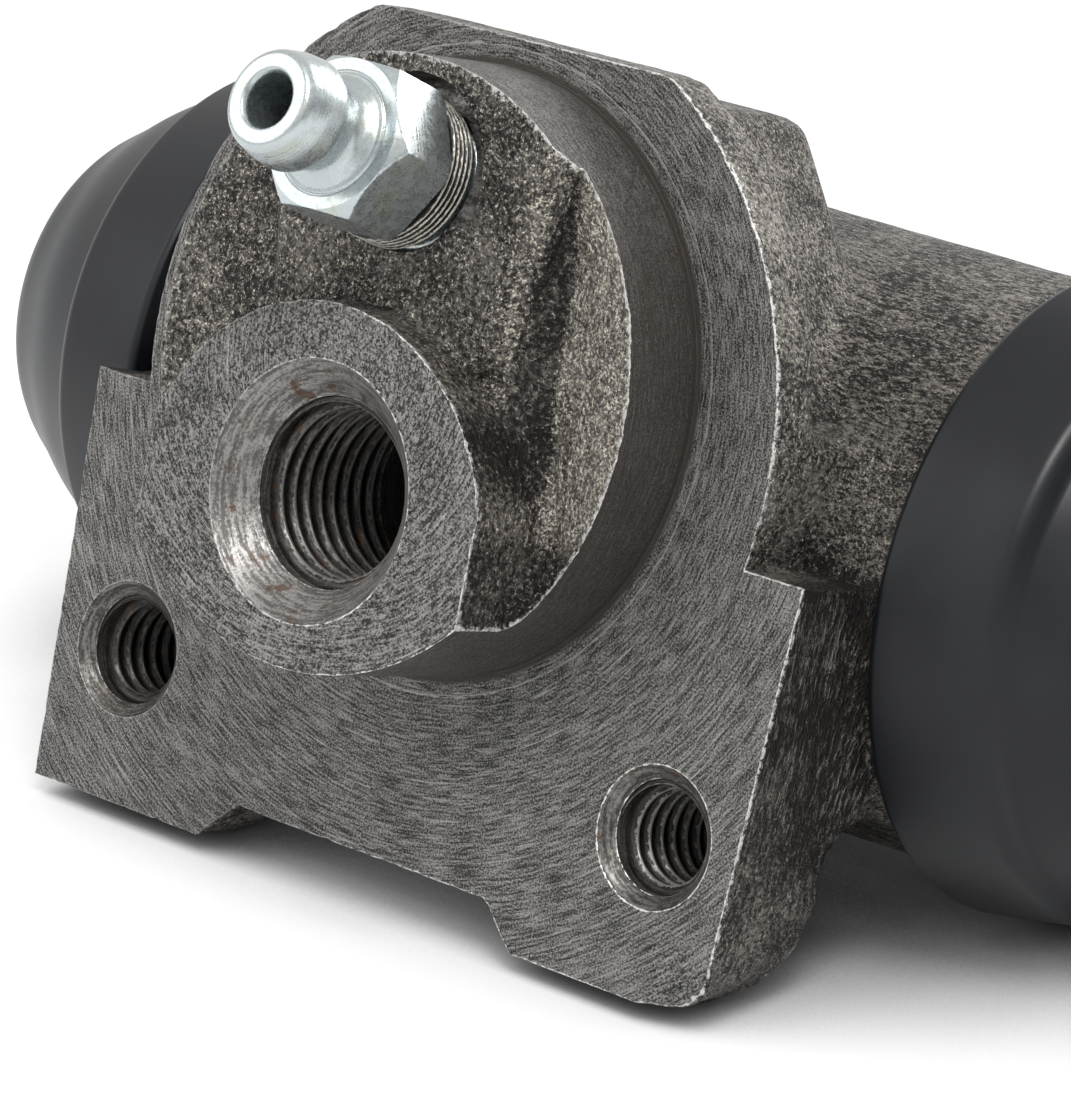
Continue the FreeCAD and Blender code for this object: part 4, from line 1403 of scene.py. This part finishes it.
@dataclass
class Boot:
    """Rubber boot: a band on the barrel, a step and a domed cover that follows the piston's nose."""

    end: End
    start: float = 26.4
    inner: float = 15.5
    outer: float = 17.4
    shoulder: float = 33.4
    shoulder_radius: float = 16.3
    step_radius: float = 15.25
    dome_end: float = 42.8
    dome_radius: float = 10.6
    face: float = 44.6
    hole_radius: float = 6.1
    groove_radius: float = 5.1
    lip_out: float = 42.0
    lip_in: float = 40.6
    around: int = 144

    def profile(self) -> np.ndarray:
        """The section as a closed loop of distance along and radius."""
        corners = [
            (self.start, self.inner, 0.0), (self.start, self.outer - 0.25, 0.15), (self.start + 0.35, self.outer, 0.3),
            (self.shoulder - 0.5, self.shoulder_radius + 0.12, 0.6), (self.shoulder, self.shoulder_radius - 0.35, 0.4),
            (self.shoulder + 0.25, self.step_radius, 0.35), (37.5, 13.7, 2.0), (40.4, 11.9, 1.6),
            (self.dome_end, self.dome_radius, 1.2), (self.face, self.dome_radius - 2.4, 1.3),
            (self.face, self.hole_radius, 0.25), (self.lip_out, self.hole_radius, 0.1),
            (self.lip_out, self.groove_radius, 0.1), (self.lip_in, self.groove_radius, 0.1),
            (self.lip_in, self.hole_radius + 1.2, 0.3), (self.face - 1.5, self.hole_radius + 1.2, 0.3),
            (self.face - 1.6, self.dome_radius - 2.4, 0.6), (self.shoulder + 0.3, self.step_radius - 1.95, 1.0),
            (30.05, self.step_radius - 1.95, 0.2), (30.05, self.inner, 0.1), (28.35, self.inner, 0.05),
            (28.35, 14.6, 0.05), (26.85, 14.6, 0.05), (26.85, self.inner, 0.05), (self.start, self.inner, 0.0),
        ]
        return spaced(rounded_profile(corners, 5), 0.9)[:-1]

    def build(self, finish: bpy.types.Material) -> bpy.types.Object:
        """Make the boot.

        Args:
            finish: its material.

        Returns:
            The object.
        """
        rod = Rod(SIZES.bore.point, (float(self.end.value), 0.0, 0.0))
        piece = lathe(f"boot_{self.end.name.lower()}_skin", rod, self.profile(), self.around, finish)
        outward_normals(piece.data)
        return piece


@dataclass
class HalfSpring:
    """One half of the coil between the pistons, from its middle to one cup's dish."""

    end: End
    reach: float
    wire: float = 1.0
    radius: float = 3.9
    turns: float = 6.0
    steps: int = 32
    around: int = 12

    def build(self, finish: bpy.types.Material) -> bpy.types.Object:
        """Sweep the wire along the half coil.

        Args:
            finish: its material.

        Returns:
            The object.
        """
        count = int(self.turns / 2 * self.steps)
        share = np.linspace(0.5, 0.5 + 0.5 * self.end.value, count + 1)
        turn = 2 * math.pi * self.turns * share
        still = np.zeros_like(turn)
        out = np.stack([still, np.sin(turn), -np.cos(turn)], axis=1)
        lead = self.reach / (math.pi * self.turns * self.radius)
        ahead = np.stack([still + lead, np.cos(turn), np.sin(turn)], axis=1) / math.hypot(1.0, lead)
        centre = np.array(SIZES.bore.point) + self.radius * out
        centre[:, 0] += (2 * share - 1) * self.reach
        angle = np.linspace(0, 2 * math.pi, self.around, endpoint=False)[None, :, None]
        skin = np.cos(angle) * out[:, None] + np.sin(angle) * np.cross(ahead, out)[:, None]
        points = (centre[:, None] + self.wire / 2 * skin).reshape(-1, 3)
        faces = ring_faces(count + 1, self.around)
        faces += [tuple(range(self.around)), tuple(count * self.around + j for j in range(self.around))[::-1]]
        piece = mesh_piece(f"spring_half_{self.end.name.lower()}", points, faces, finish)
        outward_normals(piece.data)
        return piece


@dataclass
class Studio:
    """Camera, floor and lamps."""

    focal: float = 6033.0
    width: float = 1071.0
    centre: tuple[float, float, float] = (201.8, -238.0, 34.6)
    right: tuple[float, float, float] = (0.7418, 0.6404, 0.1992)
    down: tuple[float, float, float] = (0.2403, 0.0236, -0.9704)
    ahead: tuple[float, float, float] = (-0.6261, 0.7677, -0.1364)
    heel: tuple[float, float, float] = (3.2, -23.7, 4.6)
    boot_radius: float = 17.4
    shadow_reach: float = 14.0

    def camera(self) -> None:
        """Set the camera at the photograph's viewpoint."""
        data = bpy.data.cameras.new("camera")
        data.sensor_fit = "HORIZONTAL"
        data.sensor_width = 36.0
        data.lens = self.focal * data.sensor_width / self.width
        data.clip_start, data.clip_end = 0.01, 10.0
        camera = bpy.data.objects.new("camera", data)
        rows = [Vector(self.right), -Vector(self.down), -Vector(self.ahead)]
        turn = Matrix(rows).transposed().to_4x4()
        camera.matrix_world = Matrix.Translation(Vector(self.centre) * MM) @ turn
        bpy.context.scene.collection.objects.link(camera)
        bpy.context.scene.camera = camera

    def lean(self) -> float:
        """How far the floor's upright leans from +Z towards -Y, in radians.

        Returns:
            The angle at which one plane touches both the feet's heels and the boots.
        """
        back, up, radius = self.heel
        run, rise = SIZES.axis_back - back, -SIZES.axis_drop - up
        return math.acos((self.boot_radius - radius) / math.hypot(run, rise)) - math.atan2(run, rise)

    def floor_finish(self, upright: Vector) -> bpy.types.Material:
        """A pale floor that keeps its shadow: away from the object it shines evenly to the camera, near it ambient
        occlusion dims its glow as a painted shadow, and it shines dimly in mirrored views.

        Args:
            upright: the floor's normal.

        Returns:
            The material.
        """
        tree = Tree("pale_floor")
        path = tree.nodes.new("ShaderNodeLightPath")
        cover = tree.nodes.new("ShaderNodeAmbientOcclusion")
        cover.inputs["Distance"].default_value = self.shadow_reach * MM
        cover.samples = 8
        glow = tree.nodes.new("ShaderNodeEmission")
        glow.inputs["Color"].default_value = (1.0, 1.0, 1.0, 1.0)
        # Painted shadow: ambient occlusion dims the floor's glow near the object.
        tree.put(glow.inputs["Strength"], tree.ramp(cover.outputs["AO"], (0.1, 0.0), (0.85, 1.0)))
        mirrored = tree.math("MAXIMUM", path.outputs["Is Glossy Ray"], path.outputs["Is Transmission Ray"])
        height = tree.vector("DOT_PRODUCT", tree.place, tuple(upright))
        mirrored = tree.times(mirrored, tree.ramp(height, (20.0, 0.35), (160.0, 0.95)))
        seen = tree.math("MAXIMUM", tree.times(path.outputs["Is Camera Ray"], 0.8), mirrored)
        tree.dress((0.86, 0.865, 0.87), 0.9, 0.0)
        mixed = tree.nodes.new("ShaderNodeMixShader")
        for socket, value in zip(mixed.inputs, (seen, tree.skin.outputs[0], glow.outputs[0])):
            tree.put(socket, value)
        tree.put(tree.nodes["Material Output"].inputs["Surface"], mixed.outputs[0])
        return tree.material

    def floor(self) -> None:
        """Lay the pale floor and raise the backdrop behind it."""
        lean = self.lean()
        upright = Vector((0.0, -math.sin(lean), math.cos(lean)))
        flow = Vector((0.0, math.cos(lean), math.sin(lean)))
        level = -(upright.y * SIZES.axis_back - upright.z * SIZES.axis_drop) + self.boot_radius
        middle = -upright * level * MM
        near, far, wide, high, round_off = 0.6, 0.9, 1.4, 1.2, 0.35
        rail = [(-near, 0.0)] + [(k * far / 6, 0.0) for k in range(6)]
        for k in range(9):
            a = math.pi / 2 * k / 8
            rail.append((far + round_off * math.sin(a), round_off * (1 - math.cos(a))))
        rail.append((far + round_off, high))
        points, faces = [], []
        for i, (along, up) in enumerate(rail):
            for side in (-wide, wide):
                points.append((middle + flow * along + upright * up + Vector((side, 0.0, 0.0))) / MM)
            if i:
                a = 2 * i - 2
                faces.append((a, a + 1, a + 3, a + 2))
        mesh_piece("floor", np.array(points), faces, self.floor_finish(upright))

    def lamp(self, name: str, place: tuple[float, float, float], size: float, power: float) -> None:
        """One square area lamp that looks at the object.

        Args:
            name: its name.
            place: where it stands, in metres.
            size: its side in metres.
            power: its watts.
        """
        data = bpy.data.lights.new(name, "AREA")
        data.size = size
        data.energy = power
        lamp = bpy.data.objects.new(name, data)
        lamp.location = place
        lamp.rotation_euler = (-Vector(place)).to_track_quat("-Z", "Y").to_euler()
        bpy.context.scene.collection.objects.link(lamp)

    def light(self) -> None:
        """Light the object from a room that is pale at the front left and dim at the right, and three soft lamps."""
        world = bpy.data.worlds.new("room")
        world.use_nodes = True
        tree = world.node_tree
        room = tree.nodes["Background"]
        room.inputs["Color"].default_value = (1.0, 1.0, 1.0, 1.0)
        place = tree.nodes.new("ShaderNodeTexCoord")
        lean = tree.nodes.new("ShaderNodeVectorMath")
        lean.operation = "DOT_PRODUCT"
        lean.inputs[1].default_value = (-0.34, -0.42, 0.84)
        tree.links.new(place.outputs["Generated"], lean.inputs[0])
        fade = tree.nodes.new("ShaderNodeMapRange")
        fade.interpolation_type = "SMOOTHSTEP"
        for key, value in (("From Min", -0.6), ("From Max", 0.35), ("To Min", 0.08), ("To Max", 0.9)):
            fade.inputs[key].default_value = value
        tree.links.new(lean.outputs["Value"], fade.inputs["Value"])
        tree.links.new(fade.outputs[0], room.inputs["Strength"])
        seen = tree.nodes.new("ShaderNodeBackground")
        path = tree.nodes.new("ShaderNodeLightPath")
        mixed = tree.nodes.new("ShaderNodeMixShader")
        tree.links.new(path.outputs["Is Camera Ray"], mixed.inputs[0])
        tree.links.new(room.outputs[0], mixed.inputs[1])
        tree.links.new(seen.outputs[0], mixed.inputs[2])
        seen.inputs["Color"].default_value = (1.0, 1.0, 1.0, 1.0)
        tree.links.new(mixed.outputs[0], tree.nodes["World Output"].inputs["Surface"])
        bpy.context.scene.world = world
        self.lamp("key", (0.20, -0.30, 0.44), 0.20, 2.8)
        self.lamp("fill", (-0.34, -0.44, 0.20), 0.40, 0.9)
        self.lamp("back", (0.10, 0.40, 0.36), 0.26, 1.8)


def count_faces(piece: bpy.types.Object) -> None:
    """Log how many faces a piece has."""
    LOG.info("%s has %d faces", piece.name, len(piece.data.polygons))


def dress_housing(solid: bpy.types.Object) -> None:
    """Redraw the casting and cut the threads in its holes.

    Args:
        solid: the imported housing.
    """
    housing = Housing().build(solid, [CastSkin().material(), TurnedSkin().material(), DrilledSkin().material()])
    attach(housing, "housing")
    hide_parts("housing")
    count_faces(housing)

    # The tapped threads' edge colour brightens their crests, partly as a painted highlight.
    threaded = DrilledSkin(
        "tapped_skin", dark=(0.022, 0.020, 0.018), pale=(0.085, 0.081, 0.076), edge=(0.34, 0.33, 0.315)).material()
    ridges = {"port_thread": Thread(SIZES.port, -SIZES.boss_proud + 2.1, 1.0, 1.0, 5.03, 4.46, 84)}
    for end in End:
        ridges[f"bolt_thread_{end.name.lower()}"] = Thread(SIZES.bolt(end), 0.9, 10.5, 1.0, 3.03, 2.46, 64)
    for name, ridge in ridges.items():
        piece = ridge.build(name, threaded)
        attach(piece, "housing")
        count_faces(piece)


def dress_screw() -> None:
    """Redraw the bleed screw with its threads."""
    screw = BleedScrew()
    zinc = ZincPlate().material()
    # The fine rings' edge colour brightens their crests, partly as a painted highlight.
    ringed = DrilledSkin(
        "plated_thread", dark=(0.012, 0.012, 0.012), pale=(0.03, 0.03, 0.029), rust=(0.05, 0.03, 0.016),
        edge=(0.42, 0.40, 0.35)).material()
    for piece in (screw.build(zinc, ScrewBore().material()), screw.thread(zinc), screw.rings(ringed)):
        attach(piece, "bleeder")
        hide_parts("bleed_screw")
        count_faces(piece)


def fit_boots() -> None:
    """Redraw the boots, which reach from the barrel to the pistons' noses."""
    rubber = BootRubber().material()
    for end in End:
        side = end.name.lower()
        boot = Boot(end).build(rubber)
        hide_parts(f"boot_{side}")
        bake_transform(boot)
        count_faces(boot)


def fit_spring(wire: bpy.types.Material) -> None:
    """Redraw the spring in two halves, each from its middle to one piston's cup.

    Args:
        wire: its material.
    """
    low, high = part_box("piston_spring")
    for end in End:
        half = HalfSpring(end, (high[0] - low[0]) / MM / 2 - 0.5)
        coil = half.build(wire)
        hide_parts("piston_spring")
        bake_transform(coil)
        count_faces(coil)


def dress_hidden(nodes: dict, wire: bpy.types.Material) -> None:
    """Give the solids that keep their own shape their finishes.

    Args:
        nodes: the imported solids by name.
        wire: the steel of the spring and the expanders.
    """
    piston = PlainMetal("turned_piston", (0.34, 0.345, 0.35), (0.62, 0.63, 0.64), 0.3).material()
    seal = SealRubber().material()
    for end in End:
        for kind, finish in (("piston", piston), ("cup_expander", wire), ("cup_seal", seal)):
            name = f"{kind}_{end.name.lower()}"
            for slot in nodes[name].material_slots:
                slot.material = finish
            LOG.info("%s keeps its solid", name)


def main() -> None:
    """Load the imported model, dress it and set the studio."""
    logging.basicConfig(level=logging.INFO, format="%(name)s: %(message)s")
    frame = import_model()
    nodes = frame["nodes"]
    bpy.context.scene.view_settings.view_transform = "Standard"

    dress_housing(nodes["housing"])
    dress_screw()
    fit_boots()
    wire = PlainMetal("drawn_steel", (0.22, 0.22, 0.225), (0.42, 0.42, 0.43), 0.32).material()
    fit_spring(wire)
    dress_hidden(nodes, wire)

    studio = Studio()
    studio.camera()
    studio.floor()
    studio.light()


if __name__ == "__main__":
    main()
